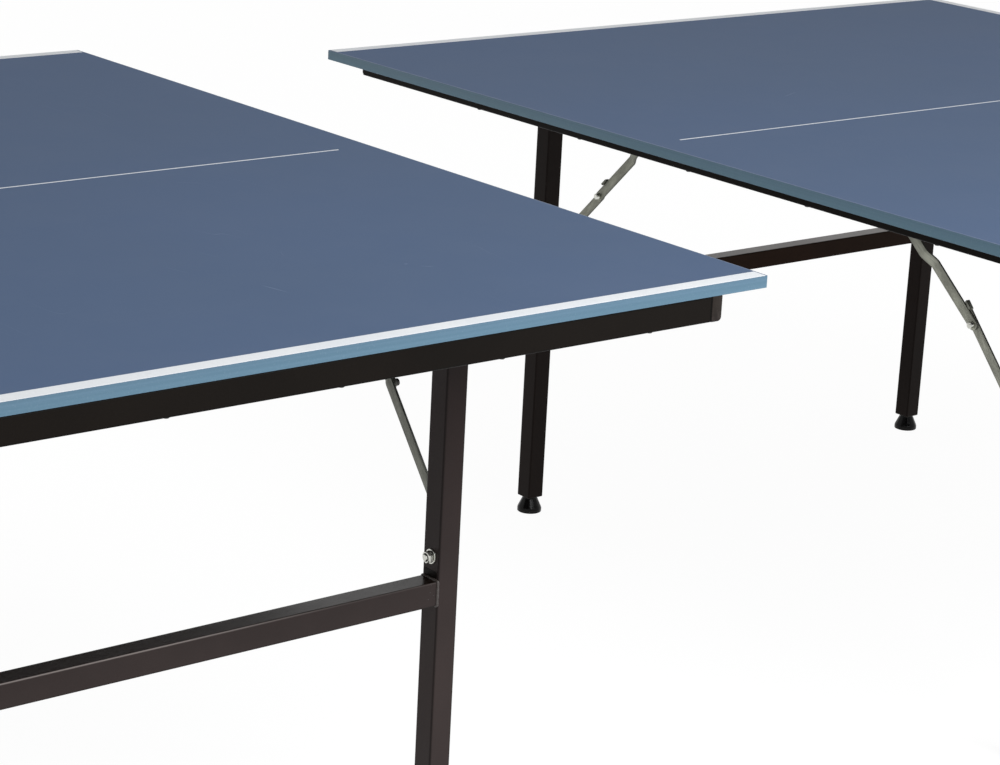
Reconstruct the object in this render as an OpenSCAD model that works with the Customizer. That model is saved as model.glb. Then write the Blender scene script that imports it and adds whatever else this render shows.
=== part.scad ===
// Folding table tennis table in two separate halves, each on two folding leg frames.
// Millimetres. Z is up, X runs along the sidelines and Y across the table.
// The origin is on the floor, midway between the halves. The right half stands on the
// +X side, and the left half is built alike and turned half a turn about Z.

/* [Table top] */
// Length of one half, from the net edge to the end line
half_length = 1370; // [1330:1:1400]
// Width of the table
top_width = 1525; // [1480:1:1560]
// Height of the playing surface above the floor
top_height = 760; // [755:1:770]
// Thickness of the board
board_t = 15; // [15:1:19]
// Thickness of the plastic band round the edge of the board
band_t = 2; // [1:0.5:3]

/* [Placing of the halves] */
// Gap between the two net edges
halves_gap = 360; // [200:5:600]
// Sideways shift of one half against the other
halves_shift = 155; // [0:5:300]

/* [Rails under the board] */
// Height of the rails
rail_h = 30; // [25:1:35]
// Width of the rails
rail_w = 15; // [15:1:20]
// Free edge between the net edge and the net rail, where a net clamp grips
net_rail_inset = 68; // [60:1:80]
// Spacing of the screws along the side rails
side_screw_step = 210; // [190:5:220]
// Distance of the first side rail screw from the net edge
side_screw_first = 170; // [150:5:180]
// Spacing of the screws along the cross rails
cross_screw_step = 235; // [200:5:300]

/* [Leg frames] */
// Outer width of the square tube of the legs and crossbars
leg_w = 30; // [28:1:32]
// Wall of the steel tubes
tube_wall = 1.2; // [1:0.1:2]
// Outer corner radius of the square tube
tube_r = 2; // [1:0.5:3]
// Distance between the two legs of a frame
leg_span = 900; // [850:10:920]
// Distance of the leg frames from the sidelines
leg_inset = 195; // [185:1:210]
// Distance of the far frame's first leg from the net edge
far_leg_x = 300; // [290:1:310]
// Distance of the near frame's first leg from the net edge, in the left and in the right half.
// It stands beside the far frame's, so that the two frames fold side by side
near_leg_x = [370, 230]; // [220:10:380]
// Height of the fold axis of a leg frame
hinge_z = 720; // [716:1:720]
// Height of the middle of the crossbar
crossbar_z = 375; // [350:1:385]
// Height of the leg's lower end, with its plastic insert
leg_bottom = 26; // [24:1:32]

/* [Folding stays] */
// Height of the stay's bolt in the leg
stay_bolt_z = 417; // [410:1:425]
// Width of the stay's flat strips
stay_w = 15; // [14:1:18]
// Thickness of the strips
stay_t = 3; // [2.5:0.5:3.5]
// Sideways step in the upper strip, which clears the head of the leg's bolt
stay_step = 9; // [8.5:0.5:11]
// Distance of that step from the elbow
stay_step_from = 100; // [90:5:115]
// How far each elbow stands short of straight: left front, left rear, right front, right rear
stay_bend = [13, 8, 8, 0]; // [0:1:15]

/* [Feet and fasteners] */
// Radius of the levelling foot
foot_r = 20; // [16:1:22]
// Radius of the pivot bolts, stay bolts and foot studs
bolt_r = 4; // [3.5:0.5:4]
// Width across the flats of the bolt heads and nuts
hex_af = 13; // [12:1:14]
// Radius of the wood screws
screw_r = 2.25; // [2:0.25:2.5]

/* [Hidden] */
$fn = 48;
// Running clearance of a bolt in the piece that turns on it
run_clear = 0.06;
// Gap between faces that slide past each other
side_gap = 0.4;
board_z = top_height - board_t;
rail_z = board_z - rail_h;
// Sheet steel of the brackets under the board
sheet_t = 2.5;
sheet_z = board_z - sheet_t;
// Domed heads of the stays' bolts
dome_r = 8;
dome_h = 4;
// Heads of the hexagon bolts, nuts and washers
head_h = 5.3;
nut_h = 6.5;
washer_r = 9;
washer_t = 1.6;
thread_end = 3;
// The stay's bolt and its bracket's pivot are equally far from the fold axis, so that they
// come together when the frame is folded, and the two strips lie on each other along the leg
fold_r = hinge_z - stay_bolt_z;
// Layers of a stay, measured outwards from the face of the leg
lower_u = side_gap;
upper_u = lower_u + stay_t + side_gap;
end_u = upper_u + stay_step;
cheek_u = end_u + stay_t + side_gap;
// Run of the sideways step along the upper strip
stay_step_run = 20;
// The lower strip runs on past the elbow and carries a lug that stops the elbow. Past the elbow
// it is narrower on the side away from the lug, and its end is rounded there, to pass under the
// board
past_elbow = 3;
lug_from = 19;
lug_to = 32;
lug_h = 9;
// Radius of the elbow pin's head
pin_head_r = 4.6;
pin_head_h = 7;
// Screw heads
screw_head_r = 4;
screw_head_h = 2.2;
screw_in_board = 12;
side_screw_count = 6;
cross_screw_count = 5;
// Base plates and their screws
leg_plate = [64, 60];
leg_screw = [24, 22];
stay_plate_w = 34;
stay_plate_l = 40;
stay_screw_u = cheek_u + 22;
stay_screw_y = 12;
cheek_r = 14;
leg_cheek_gap = 0.5;
// Plastic inserts and caps
leg_top = hinge_z + 10;
insert_w = leg_w - 2 * tube_wall;
insert_h = 28;
cap_t = 2;
cap_r = 5;
plug_depth = 20;
// Levelling foot, from its base up
foot_rim_h = 7;
foot_neck_r = 12;
foot_neck_z = 24;
foot_gap = 0.3;
stud_len = 26;

HALVES = ["left", "right"];
FRAMES = ["left_front", "left_rear", "right_front", "right_rear"];
HALF_PARTS = ["board", "edge_band", "side_rails", "cross_rails", "rail_caps",
              "leg_brackets", "stay_brackets", "pivot_bolts", "screws"];
FRAME_PARTS = ["legs", "crossbar", "leg_plugs", "stay_bolts", "stay_nuts",
               "lower_stays", "upper_stays", "elbow_pins", "net_foot", "end_foot"];

// ---- Where things are ------------------------------------------------------------

// Length of each strip between its pivots, for an elbow that stands bend short of straight
function stay_len(bend) = fold_r / sqrt(2) / cos(bend / 2);
// The strips lie equally steeper and flatter than the straight line from bolt to bracket
function lower_slope(bend) = 45 + bend / 2;
function upper_slope(bend) = 45 - bend / 2;
// The left half's far frame stands at the front, and the right half's near one
function is_far(i) = i == 0 || i == 3;

function side_screw_xs() = [for (i = [0 : side_screw_count - 1]) side_screw_first + i * side_screw_step];
function cross_screw_ys() = [for (i = [0 : cross_screw_count - 1])
    top_width / 2 + (i - (cross_screw_count - 1) / 2) * cross_screw_step];
function side_rail_ys() = [rail_w / 2, top_width - rail_w / 2];
function cross_rail_xs() = [net_rail_inset + rail_w / 2, half_length - rail_w / 2];

// Screws through the rails, and screws through the base plates, as [x, y] under one half
function rail_screws() = concat(
    [for (x = side_screw_xs(), y = side_rail_ys()) [x, y]],
    [for (x = cross_rail_xs(), y = cross_screw_ys()) [x, y]]);
function frame_screws(x0, y0, inwards) = concat(
    [for (x = [x0, x0 + leg_span], i = [-1, 1], j = [-1, 1])
        [x + i * leg_screw[0], y0 + j * leg_screw[1]]],
    [for (x = [x0 - leg_w / 2 - stay_screw_u, x0 + leg_span + leg_w / 2 + stay_screw_u], j = [-1, 1])
        [x, y0 + inwards * fold_r + j * stay_screw_y]]);
function plate_screws(side) = concat(
    frame_screws(near_leg_x[side], leg_inset, 1),
    frame_screws(far_leg_x, top_width - leg_inset, -1));

// Puts a half's parts in their place: its net edge is x = 0 and one sideline is y = 0
module place_half(side) {
    rotate([0, 0, side == 0 ? 180 : 0])
        translate([halves_gap / 2, -(top_width + halves_shift) / 2, 0])
            children();
}

// Puts a frame's parts under a half: x runs from the net leg and +y towards mid table
module near_frame(side) {
    translate([near_leg_x[side], leg_inset, 0]) children();
}

module far_frame() {
    translate([far_leg_x, top_width - leg_inset, 0]) mirror([0, 1, 0]) children();
}

module place_frame(i) {
    place_half(i < 2 ? 0 : 1) {
        if (is_far(i)) far_frame() children();
        else near_frame(i < 2 ? 0 : 1) children();
    }
}

// Puts a piece on the outer face of both legs, with +x pointing away from the frame
module on_both_legs() {
    mirror([1, 0, 0]) translate([leg_w / 2, 0, 0]) children();
    translate([leg_span + leg_w / 2, 0, 0]) children();
}

// ---- Shapes that repeat ----------------------------------------------------------

// Rectangle about the origin with round corners
module round_rect(w, h, r) {
    square([w - 2 * r, h], center = true);
    square([w, h - 2 * r], center = true);
    for (i = [-1, 1], j = [-1, 1])
        translate([i * (w / 2 - r), j * (h / 2 - r)]) circle(r);
}

// Steel tube standing on the origin along Z
module steel_tube(w, h, len) {
    linear_extrude(len)
        difference() {
            round_rect(w, h, tube_r);
            square([w - 2 * tube_wall, h - 2 * tube_wall], center = true);
        }
}

// Round bar along X, from x = a to x = b
module bar_x(a, b, r) {
    translate([a, 0, 0]) rotate([0, 90, 0]) cylinder(h = b - a, r = r);
}

// Hexagon along X, from x = a to x = b
module hex_x(a, b) {
    translate([a, 0, 0]) rotate([0, 90, 0]) cylinder(h = b - a, r = hex_af / sqrt(3), $fn = 6);
}

// Nut along X, bored to slip on its bolt
module nut_x(a) {
    difference() {
        hex_x(a, a + nut_h);
        bar_x(a - 1, a + nut_h + 1, bolt_r + run_clear);
    }
}

// Cheek of a bracket: a plate across X that hangs from the sheet down round its pivot
module cheek(a) {
    difference() {
        union() {
            bar_x(a, a + sheet_t, cheek_r);
            translate([a, -cheek_r, 0]) cube([sheet_t, 2 * cheek_r, board_z - hinge_z]);
        }
        bar_x(a - 1, a + sheet_t + 1, bolt_r);
    }
}

// ---- Table top and rails ---------------------------------------------------------

// Chipboard panel with a blind pilot hole for each screw
module board(side) {
    color([0.35, 0.42, 0.54])
        difference() {
            translate([band_t, band_t, board_z])
                cube([half_length - 2 * band_t, top_width - 2 * band_t, board_t]);
            for (p = concat(rail_screws(), plate_screws(side)))
                translate([p[0], p[1], board_z - 1]) cylinder(h = screw_in_board + 1, r = screw_r);
        }
}

// Plastic band glued round the panel
module edge_band() {
    color([0.45, 0.56, 0.64])
        translate([0, 0, board_z])
            difference() {
                cube([half_length, top_width, board_t]);
                translate([band_t, band_t, -1])
                    cube([half_length - 2 * band_t, top_width - 2 * band_t, board_t + 2]);
            }
}

// Rails along the two sidelines, between the cross rails
module side_rails() {
    from = net_rail_inset + rail_w;
    to = half_length - rail_w;
    color([0.16, 0.14, 0.13])
        for (y = side_rail_ys())
            difference() {
                translate([from, y, rail_z + rail_h / 2])
                    rotate([90, 0, 90]) steel_tube(rail_w, rail_h, to - from);
                for (x = side_screw_xs())
                    translate([x, y, rail_z - 1]) cylinder(h = rail_h + 2, r = screw_r);
            }
}

// Rails across the table near the net edge and under the end line
module cross_rails() {
    color([0.14, 0.13, 0.12])
        for (x = cross_rail_xs())
            difference() {
                translate([x, top_width - cap_t, rail_z + rail_h / 2])
                    rotate([90, 0, 0]) steel_tube(rail_w, rail_h, top_width - 2 * cap_t);
                for (y = cross_screw_ys())
                    translate([x, y, rail_z - 1]) cylinder(h = rail_h + 2, r = screw_r);
            }
}

// Outline of a rail cap, with a large round at its lower outer corner
module cap_outline(outer) {
    difference() {
        square([rail_w, rail_h], center = true);
        translate([outer * (rail_w / 2 - cap_r / 2), -rail_h / 2 + cap_r / 2])
            square(cap_r + 0.001, center = true);
    }
    translate([outer * (rail_w / 2 - cap_r), -rail_h / 2 + cap_r]) circle(cap_r);
}

// One plastic cap: a plate at y = 0 and a plug that reaches into the tube
module rail_cap(outer) {
    translate([0, cap_t, 0]) rotate([90, 0, 0]) linear_extrude(cap_t) cap_outline(outer);
    translate([-rail_w / 2 + tube_wall, cap_t, -rail_h / 2 + tube_wall])
        cube([rail_w - 2 * tube_wall, plug_depth, rail_h - 2 * tube_wall]);
}

module rail_caps() {
    color([0.2, 0.18, 0.17])
        for (i = [0, 1])
            translate([cross_rail_xs()[i], 0, rail_z + rail_h / 2]) {
                rail_cap(2 * i - 1);
                translate([0, top_width, 0]) mirror([0, 1, 0]) rail_cap(2 * i - 1);
            }
}

// ---- Brackets, pivots and screws of a half ---------------------------------------

// U bracket that holds the top of one leg
module leg_bracket() {
    difference() {
        translate([-leg_plate[0] / 2, -leg_plate[1] / 2, sheet_z])
            cube([leg_plate[0], leg_plate[1], sheet_t]);
        for (i = [-1, 1], j = [-1, 1])
            translate([i * leg_screw[0], j * leg_screw[1], sheet_z - 1])
                cylinder(h = sheet_t + 2, r = screw_r);
    }
    translate([leg_w / 2 + leg_cheek_gap, 0, hinge_z]) cheek(0);
    translate([-leg_w / 2 - leg_cheek_gap - sheet_t, 0, hinge_z]) cheek(0);
}

module frame_leg_brackets() {
    for (x = [0, leg_span]) translate([x, 0, 0]) leg_bracket();
}

module leg_brackets(side) {
    color([0.17, 0.16, 0.16]) {
        near_frame(side) frame_leg_brackets();
        far_frame() frame_leg_brackets();
    }
}

// Angle bracket that holds the upper end of a stay, drawn outwards from the leg's face
module stay_bracket() {
    translate([0, 0, hinge_z]) cheek(cheek_u);
    difference() {
        translate([cheek_u, -stay_plate_l / 2, sheet_z]) cube([stay_plate_w, stay_plate_l, sheet_t]);
        for (j = [-1, 1])
            translate([stay_screw_u, j * stay_screw_y, sheet_z - 1])
                cylinder(h = sheet_t + 2, r = screw_r);
    }
}

module frame_stay_brackets() {
    on_both_legs() translate([0, fold_r, 0]) stay_bracket();
}

module stay_brackets(side) {
    color([0.17, 0.16, 0.16]) {
        near_frame(side) frame_stay_brackets();
        far_frame() frame_stay_brackets();
    }
}

// Bolt and nut of a leg's fold axis, drawn outwards from the leg's outer face
module hinge_bolt() {
    outer = leg_cheek_gap + sheet_t;
    inner = -leg_w - outer;
    hex_x(outer, outer + head_h);
    bar_x(inner - nut_h - thread_end, outer, bolt_r);
    nut_x(inner - nut_h);
}

// Bolt and nut of a stay's upper end, with a thin flat head on the leg's side
module bracket_bolt() {
    from = end_u - side_gap;
    outer = cheek_u + sheet_t;
    bar_x(from - 1.5, from, 7);
    bar_x(from, outer + nut_h + thread_end, bolt_r);
    nut_x(outer);
}

module frame_pivots() {
    on_both_legs() {
        translate([0, 0, hinge_z]) hinge_bolt();
        translate([0, fold_r, hinge_z]) bracket_bolt();
    }
}

module pivot_bolts(side) {
    color([0.75, 0.75, 0.73]) {
        near_frame(side) frame_pivots();
        far_frame() frame_pivots();
    }
}

// Wood screw from below, with its head against z = seat
module wood_screw(seat) {
    translate([0, 0, seat - screw_head_h]) cylinder(h = screw_head_h, r = screw_head_r);
    translate([0, 0, seat]) cylinder(h = board_z + screw_in_board - seat, r = screw_r);
}

module screws(side) {
    color([0.3, 0.3, 0.3]) {
        for (p = rail_screws()) translate([p[0], p[1], 0]) wood_screw(rail_z);
        for (p = plate_screws(side)) translate([p[0], p[1], 0]) wood_screw(sheet_z);
    }
}

// ---- Leg frame -------------------------------------------------------------------

module legs() {
    color([0.2, 0.17, 0.17])
        for (x = [0, leg_span])
            difference() {
                translate([x, 0, leg_bottom + cap_t])
                    steel_tube(leg_w, leg_w, leg_top - leg_bottom - 2 * cap_t);
                translate([x, 0, hinge_z]) bar_x(-leg_w, leg_w, bolt_r + run_clear);
                translate([x, 0, stay_bolt_z]) bar_x(-leg_w, leg_w, bolt_r);
            }
}

module crossbar() {
    color([0.24, 0.21, 0.2])
        translate([leg_w / 2, 0, crossbar_z]) rotate([90, 0, 90])
            steel_tube(leg_w, leg_w, leg_span - leg_w);
}

// Plastic bush in the top of a leg, with the bore that turns on the hinge bolt
module top_bush() {
    difference() {
        union() {
            translate([-insert_w / 2, -insert_w / 2, leg_top - insert_h])
                cube([insert_w, insert_w, insert_h - cap_t]);
            translate([0, 0, leg_top - cap_t]) linear_extrude(cap_t) round_rect(leg_w, leg_w, tube_r);
        }
        translate([0, 0, hinge_z]) bar_x(-leg_w, leg_w, bolt_r + run_clear);
    }
}

// Plastic insert in the lower end of a leg, with the bore for the foot's stud
module foot_insert() {
    difference() {
        union() {
            translate([0, 0, leg_bottom]) linear_extrude(cap_t) round_rect(leg_w, leg_w, tube_r);
            translate([-insert_w / 2, -insert_w / 2, leg_bottom + cap_t])
                cube([insert_w, insert_w, insert_h]);
        }
        translate([0, 0, leg_bottom - 1])
            cylinder(h = insert_h + cap_t + 2, r = bolt_r + run_clear);
    }
}

module leg_plugs() {
    color([0.09, 0.09, 0.09])
        for (x = [0, leg_span]) translate([x, 0, 0]) {
            top_bush();
            foot_insert();
        }
}

// Low domed head, from x = a outwards
module dome_x(a) {
    translate([a, 0, 0]) rotate([0, 90, 0])
        rotate_extrude()
            polygon([[0, 0], [dome_r, 0], [dome_r, 0.6], [0.92 * dome_r, 0.45 * dome_h],
                     [0.7 * dome_r, 0.78 * dome_h], [0.38 * dome_r, 0.95 * dome_h], [0, dome_h]]);
}

// Bolt through the leg, with its domed head over the lower strip
module stay_bolts() {
    color([0.78, 0.78, 0.75])
        on_both_legs() translate([0, 0, stay_bolt_z]) {
            dome_x(upper_u);
            bar_x(-leg_w - washer_t - nut_h - thread_end, upper_u, bolt_r);
        }
}

module stay_nuts() {
    color([0.78, 0.78, 0.75])
        on_both_legs() translate([-leg_w, 0, stay_bolt_z]) {
            difference() {
                bar_x(-washer_t, 0, washer_r);
                bar_x(-washer_t - 1, 1, bolt_r + run_clear);
            }
            nut_x(-washer_t - nut_h - 0.01);
        }
}

// ---- Folding stays ---------------------------------------------------------------

// Lower strip, from the leg's bolt past the elbow to its stop lug
module lower_stay(bend) {
    elbow_at = stay_len(bend);
    lug_at = elbow_at + lug_from;
    lug_w = lug_to - lug_from;
    round_at = lug_at + lug_w - stay_w;
    translate([lower_u, 0, stay_bolt_z]) rotate([lower_slope(bend), 0, 0])
        difference() {
            union() {
                bar_x(0, stay_t, stay_w / 2);
                translate([0, 0, -stay_w / 2]) cube([stay_t, elbow_at, stay_w]);
                translate([0, elbow_at, 0]) bar_x(0, stay_t, stay_w / 2);
                translate([0, elbow_at, -past_elbow])
                    cube([stay_t, round_at - elbow_at, stay_w / 2 + past_elbow]);
                intersection() {
                    translate([0, round_at, stay_w / 2]) bar_x(0, stay_t, stay_w);
                    translate([0, round_at, -past_elbow])
                        cube([stay_t, stay_w, stay_w / 2 + past_elbow]);
                }
                translate([0, lug_at, 0]) cube([stay_t, lug_w, stay_w / 2 + side_gap + stay_t]);
                translate([0, lug_at, stay_w / 2 + side_gap]) cube([lug_h, lug_w, stay_t]);
            }
            bar_x(-1, stay_t + 1, bolt_r + run_clear);
        }
}

module lower_stays(bend) {
    color([0.43, 0.43, 0.4]) on_both_legs() lower_stay(bend);
}

// Moves to the elbow, with +y pointing up along the upper strip
module at_elbow(bend) {
    slope = lower_slope(bend);
    len = stay_len(bend);
    translate([0, len * cos(slope), stay_bolt_z + len * sin(slope)])
        rotate([upper_slope(bend), 0, 0]) children();
}

// Upper strip, stepped sideways on its way to the bracket
module upper_stay(bend) {
    len = stay_len(bend);
    step_to = stay_step_from + stay_step_run;
    difference() {
        union() {
            linear_extrude(stay_w, center = true)
                polygon([[upper_u, 0], [upper_u, stay_step_from], [end_u, step_to], [end_u, len],
                         [end_u + stay_t, len], [end_u + stay_t, step_to - 1],
                         [upper_u + stay_t, stay_step_from - 1], [upper_u + stay_t, 0]]);
            bar_x(upper_u, upper_u + stay_t, stay_w / 2);
            translate([0, len, 0]) bar_x(end_u, end_u + stay_t, stay_w / 2);
        }
        bar_x(0, upper_u + stay_t + 1, bolt_r);
        translate([0, len, 0]) bar_x(end_u - 1, end_u + stay_t + 1, bolt_r + run_clear);
    }
}

module upper_stays(bend) {
    color([0.45, 0.45, 0.42]) on_both_legs() at_elbow(bend) upper_stay(bend);
}

// Pin of the elbow, headed on the outside and flush with the face towards the lower strip
module elbow_pins(bend) {
    color([0.8, 0.8, 0.78])
        on_both_legs() at_elbow(bend) {
            bar_x(upper_u, upper_u + stay_t, bolt_r);
            bar_x(upper_u + stay_t, upper_u + stay_t + pin_head_h, pin_head_r);
        }
}

// ---- Levelling feet --------------------------------------------------------------

// Moulded foot with a steel stud that screws into the leg's insert
module foot(x) {
    neck_top = leg_bottom - foot_gap;
    color([0.06, 0.06, 0.06])
        translate([x, 0, 0]) {
            rotate_extrude()
                polygon([[0, 0], [foot_r - 1, 0], [foot_r, 1], [foot_r, foot_rim_h],
                         [foot_neck_r, foot_neck_z], [foot_neck_r, neck_top], [0, neck_top]]);
            translate([0, 0, neck_top]) cylinder(h = stud_len, r = bolt_r);
        }
}

// ---- Nodes -----------------------------------------------------------------------

for (s = [0, 1]) {
    place_half(s) board(s);
    place_half(s) edge_band();
    place_half(s) side_rails();
    place_half(s) cross_rails();
    place_half(s) rail_caps();
    place_half(s) leg_brackets(s);
    place_half(s) stay_brackets(s);
    place_half(s) pivot_bolts(s);
    place_half(s) screws(s);
}
for (i = [0 : 3]) {
    place_frame(i) legs();
    place_frame(i) crossbar();
    place_frame(i) leg_plugs();
    place_frame(i) stay_bolts();
    place_frame(i) stay_nuts();
    place_frame(i) lower_stays(stay_bend[i]);
    place_frame(i) upper_stays(stay_bend[i]);
    place_frame(i) elbow_pins(stay_bend[i]);
    place_frame(i) foot(0);
    place_frame(i) foot(leg_span);
}
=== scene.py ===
# %% [markdown]
# # Dressing a folding table tennis table
#
# The construction of the table is already drawn: two halves, four leg frames, sixteen folding strips and eight
# feet, each solid in its place. This lesson gives them their looks. The pieces are few and simple, such as tubes,
# strips, bolts and boards, so what makes them believable is what a drawing leaves out: rounded arrises, weld
# beads, threads, paint of the right gloss, and a little wear where hands and floors touch.
#
# First the construction is loaded.

import math

import bpy
import numpy as np
from mathutils import Matrix, Vector


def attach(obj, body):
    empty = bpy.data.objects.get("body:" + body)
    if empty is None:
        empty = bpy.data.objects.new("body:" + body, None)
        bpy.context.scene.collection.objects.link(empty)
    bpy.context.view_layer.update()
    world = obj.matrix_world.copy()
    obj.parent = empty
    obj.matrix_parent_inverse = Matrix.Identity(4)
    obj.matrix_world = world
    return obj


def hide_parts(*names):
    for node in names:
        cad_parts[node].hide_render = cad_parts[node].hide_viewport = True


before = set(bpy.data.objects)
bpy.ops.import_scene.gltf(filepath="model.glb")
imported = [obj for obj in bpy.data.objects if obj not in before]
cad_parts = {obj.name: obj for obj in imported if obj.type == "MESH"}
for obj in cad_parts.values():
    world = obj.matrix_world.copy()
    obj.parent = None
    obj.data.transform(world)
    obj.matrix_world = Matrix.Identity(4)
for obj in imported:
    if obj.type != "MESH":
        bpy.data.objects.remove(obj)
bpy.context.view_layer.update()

# %% [markdown]
# ## Where things are
#
# A half is easiest to describe from its own corner: x runs from the net edge to the end line, y from one sideline
# to the other. A leg frame is described from its first leg. Four-by-four matrices then carry every piece to its
# place, so each shape is worked out once and used for both halves, mirrored where the real one is.

# %% Places of the halves and the leg frames
LENGTH, WIDTH, HEIGHT = 1370.0, 1525.0, 760.0  # of one half, in millimetres like all lengths here
GAP, SHIFT = 360.0, 155.0  # between the halves, along the table and across it
UNDER_BOARD, RAIL_MID, UNDER_RAIL = 745.0, 730.0, 715.0
HINGE_Z, BOLT_Z, BAR_Z = 720.0, 417.0, 375.0
SPAN, TUBE = 900.0, 30.0  # between the middles of a frame's legs, and the width of their square tube
FOLD_R = HINGE_Z - BOLT_Z
INSET = 195.0  # from a sideline to the legs next to it
BEND = {"left_front": 13.0, "left_rear": 8.0, "right_front": 8.0, "right_rear": 0.0}  # degrees off straight
ON_X = np.array([[0, 0, 1, 0], [1, 0, 0, 0], [0, 1, 0, 0], [0, 0, 0, 1.0]])  # lays a z-piece along x
ON_Y = np.array([[1, 0, 0, 0], [0, 0, 1, 0], [0, 1, 0, 0], [0, 0, 0, 1.0]])  # lays a z-piece along y


def shift(x=0.0, y=0.0, z=0.0):
    """Matrix that moves by (x, y, z)."""
    m = np.eye(4)
    m[:3, 3] = x, y, z
    return m


def flip(axis):
    """Matrix that mirrors one axis."""
    m = np.eye(4)
    m[axis, axis] = -1.0
    return m


def turn_x(degrees):
    """Matrix that turns about the x axis: y' = y cos - z sin, z' = y sin + z cos."""
    c, s = math.cos(math.radians(degrees)), math.sin(math.radians(degrees))
    m = np.eye(4)
    m[1:3, 1:3] = [[c, -s], [s, c]]
    return m


HALF = {"right": shift(GAP / 2, -(WIDTH + SHIFT) / 2)}
HALF["left"] = np.diag([-1.0, -1.0, 1.0, 1.0]) @ HALF["right"]
FAR = shift(300, WIDTH - INSET) @ flip(1)
FRAME = {"left_front": HALF["left"] @ FAR, "left_rear": HALF["left"] @ shift(370, INSET),
         "right_front": HALF["right"] @ shift(230, INSET), "right_rear": HALF["right"] @ FAR}


def leg_faces(name):
    """The outer faces of a frame's two legs, with x pointing away from the frame."""
    return [FRAME[name] @ shift(-TUBE / 2) @ flip(0), FRAME[name] @ shift(SPAN + TUBE / 2)]


print("net corner of the left half:", (HALF["left"] @ [0, WIDTH, HEIGHT, 1])[:3])

# %% [markdown]
# ## From a grid of points to a piece
#
# Almost every part here is a surface with two parameters: one runs along the part and one round it. If the points
# are kept in an array with rows and columns, the faces between them can be written down for the whole array at
# once. `Piece` collects such grids in millimetres, closes their ends, checks by the signed volume that each points
# outwards, and makes one mesh in metres. Every point also carries two facts that the paints need later: `wear`,
# which is 1 on an arris and 0 on a flat, and `flow`, the way along a rolled strip and across it.

# %% The builder of meshes
class Piece:
    """Closed shells in millimetres that become one object riding on one body."""

    def __init__(self, name, body, paints, slot, stands_for=()):
        """stands_for names the drawn solids whose place the piece takes."""
        self.name, self.body, self.paints = name, body, paints
        self.slot, self.stands_for = slot, stands_for
        self.points, self.faces, self.paint, self.wear, self.flow = [], [], [], [], []
        self.count = 0

    # wear marks arrises: the paints use it for worn paint, for painted shade on arrises and, where negative, for
    # painted highlights
    def add(self, grid, place, wear=0.0, flow=None, paint=(0, 0, 0), ring=False):
        """Faces join point (row, column) to its neighbours in the next row and the next column. Columns run all the
        way round, rows only if ring is true; otherwise the first and the last row are closed by a face each."""
        rows, cols = grid.shape[:2]
        points = grid.reshape(-1, 3) @ place[:3, :3].T + place[:3, 3]
        number = np.arange(rows * cols).reshape(rows, cols)
        beside, above = np.roll(number, -1, 1), np.roll(number, -1, 0)
        quads = np.stack([number, beside, np.roll(beside, -1, 0), above], -1)
        quads = (quads if ring else quads[:-1]).reshape(-1, 4)
        ends = [] if ring else [number[0][::-1], number[-1]]
        triangles = [quads[:, [0, 1, 2]], quads[:, [0, 2, 3]]]
        triangles += [np.stack([np.full(cols - 2, e[0]), e[1:-1], e[2:]], -1) for e in ends]
        a, b, c = np.moveaxis((points - points.mean(0))[np.concatenate(triangles)], 1, 0)
        if np.einsum("ij,ij->i", a, np.cross(b, c)).sum() < 0:
            quads, ends = quads[:, ::-1], [e[::-1] for e in ends]
        self.faces += (quads + self.count).tolist() + [(e + self.count).tolist() for e in ends]
        self.paint += [paint[0]] * len(quads) + list(paint[1:])[: len(ends)]
        self.points.append(points)
        self.wear.append(np.broadcast_to(wear, (rows, cols)).ravel())
        flow = np.stack([grid[..., 0], grid[..., 1]], -1) if flow is None else flow
        self.flow.append(np.concatenate([flow.reshape(-1, 2), np.zeros((rows * cols, 1))], 1))
        self.count += rows * cols
        return self

    def make(self):
        """The mesh in metres, smooth except where faces meet at more than 35 degrees."""
        mesh = bpy.data.meshes.new(self.name)
        mesh.from_pydata((np.concatenate(self.points) / 1000).tolist(), [], self.faces)
        for kind, name, key, values in (("FLOAT", "wear", "value", self.wear),
                                        ("FLOAT_VECTOR", "flow", "vector", self.flow)):
            data = np.concatenate(values).astype(np.float32)
            mesh.attributes.new(name, kind, "POINT").data.foreach_set(key, data.ravel())
        for paint in self.paints:
            mesh.materials.append(paint)
        mesh.polygons.foreach_set("material_index", np.array(self.paint, np.int32))
        mesh.shade_smooth()
        mesh.set_sharp_from_angle(angle=math.radians(35))
        piece = bpy.data.objects.new(self.name, mesh)
        bpy.context.scene.collection.objects.link(piece)
        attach(piece, self.body)
        if self.stands_for:
            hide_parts(*self.stands_for)
        print(f"{self.name}: {len(self.faces)} faces")


print("solids that pieces can stand for:", len(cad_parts))

# %% [markdown]
# ## The few shapes everything is made of
#
# A tube, a plate, a cap and a board are all the same idea: an outline stacked up at several heights, drawn in a
# little at the ends so that the arris is rounded or chamfered. Bolts, washers and feet are outlines too, but given
# as a radius for each angle, which lets one function cut a hexagon, a thread or a moulded grip. The folding stays
# and brackets are flat strips bent sideways, so they get a function that carries a section along a centre line.

# %% Outlines
def arc(x, y, r, start, stop, n):
    """Points x + r cos t, y + r sin t, with t in degrees from start to stop."""
    t = np.radians(np.linspace(start, stop, n))
    return np.stack([x + r * np.cos(t), y + r * np.sin(t)], 1)


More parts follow.
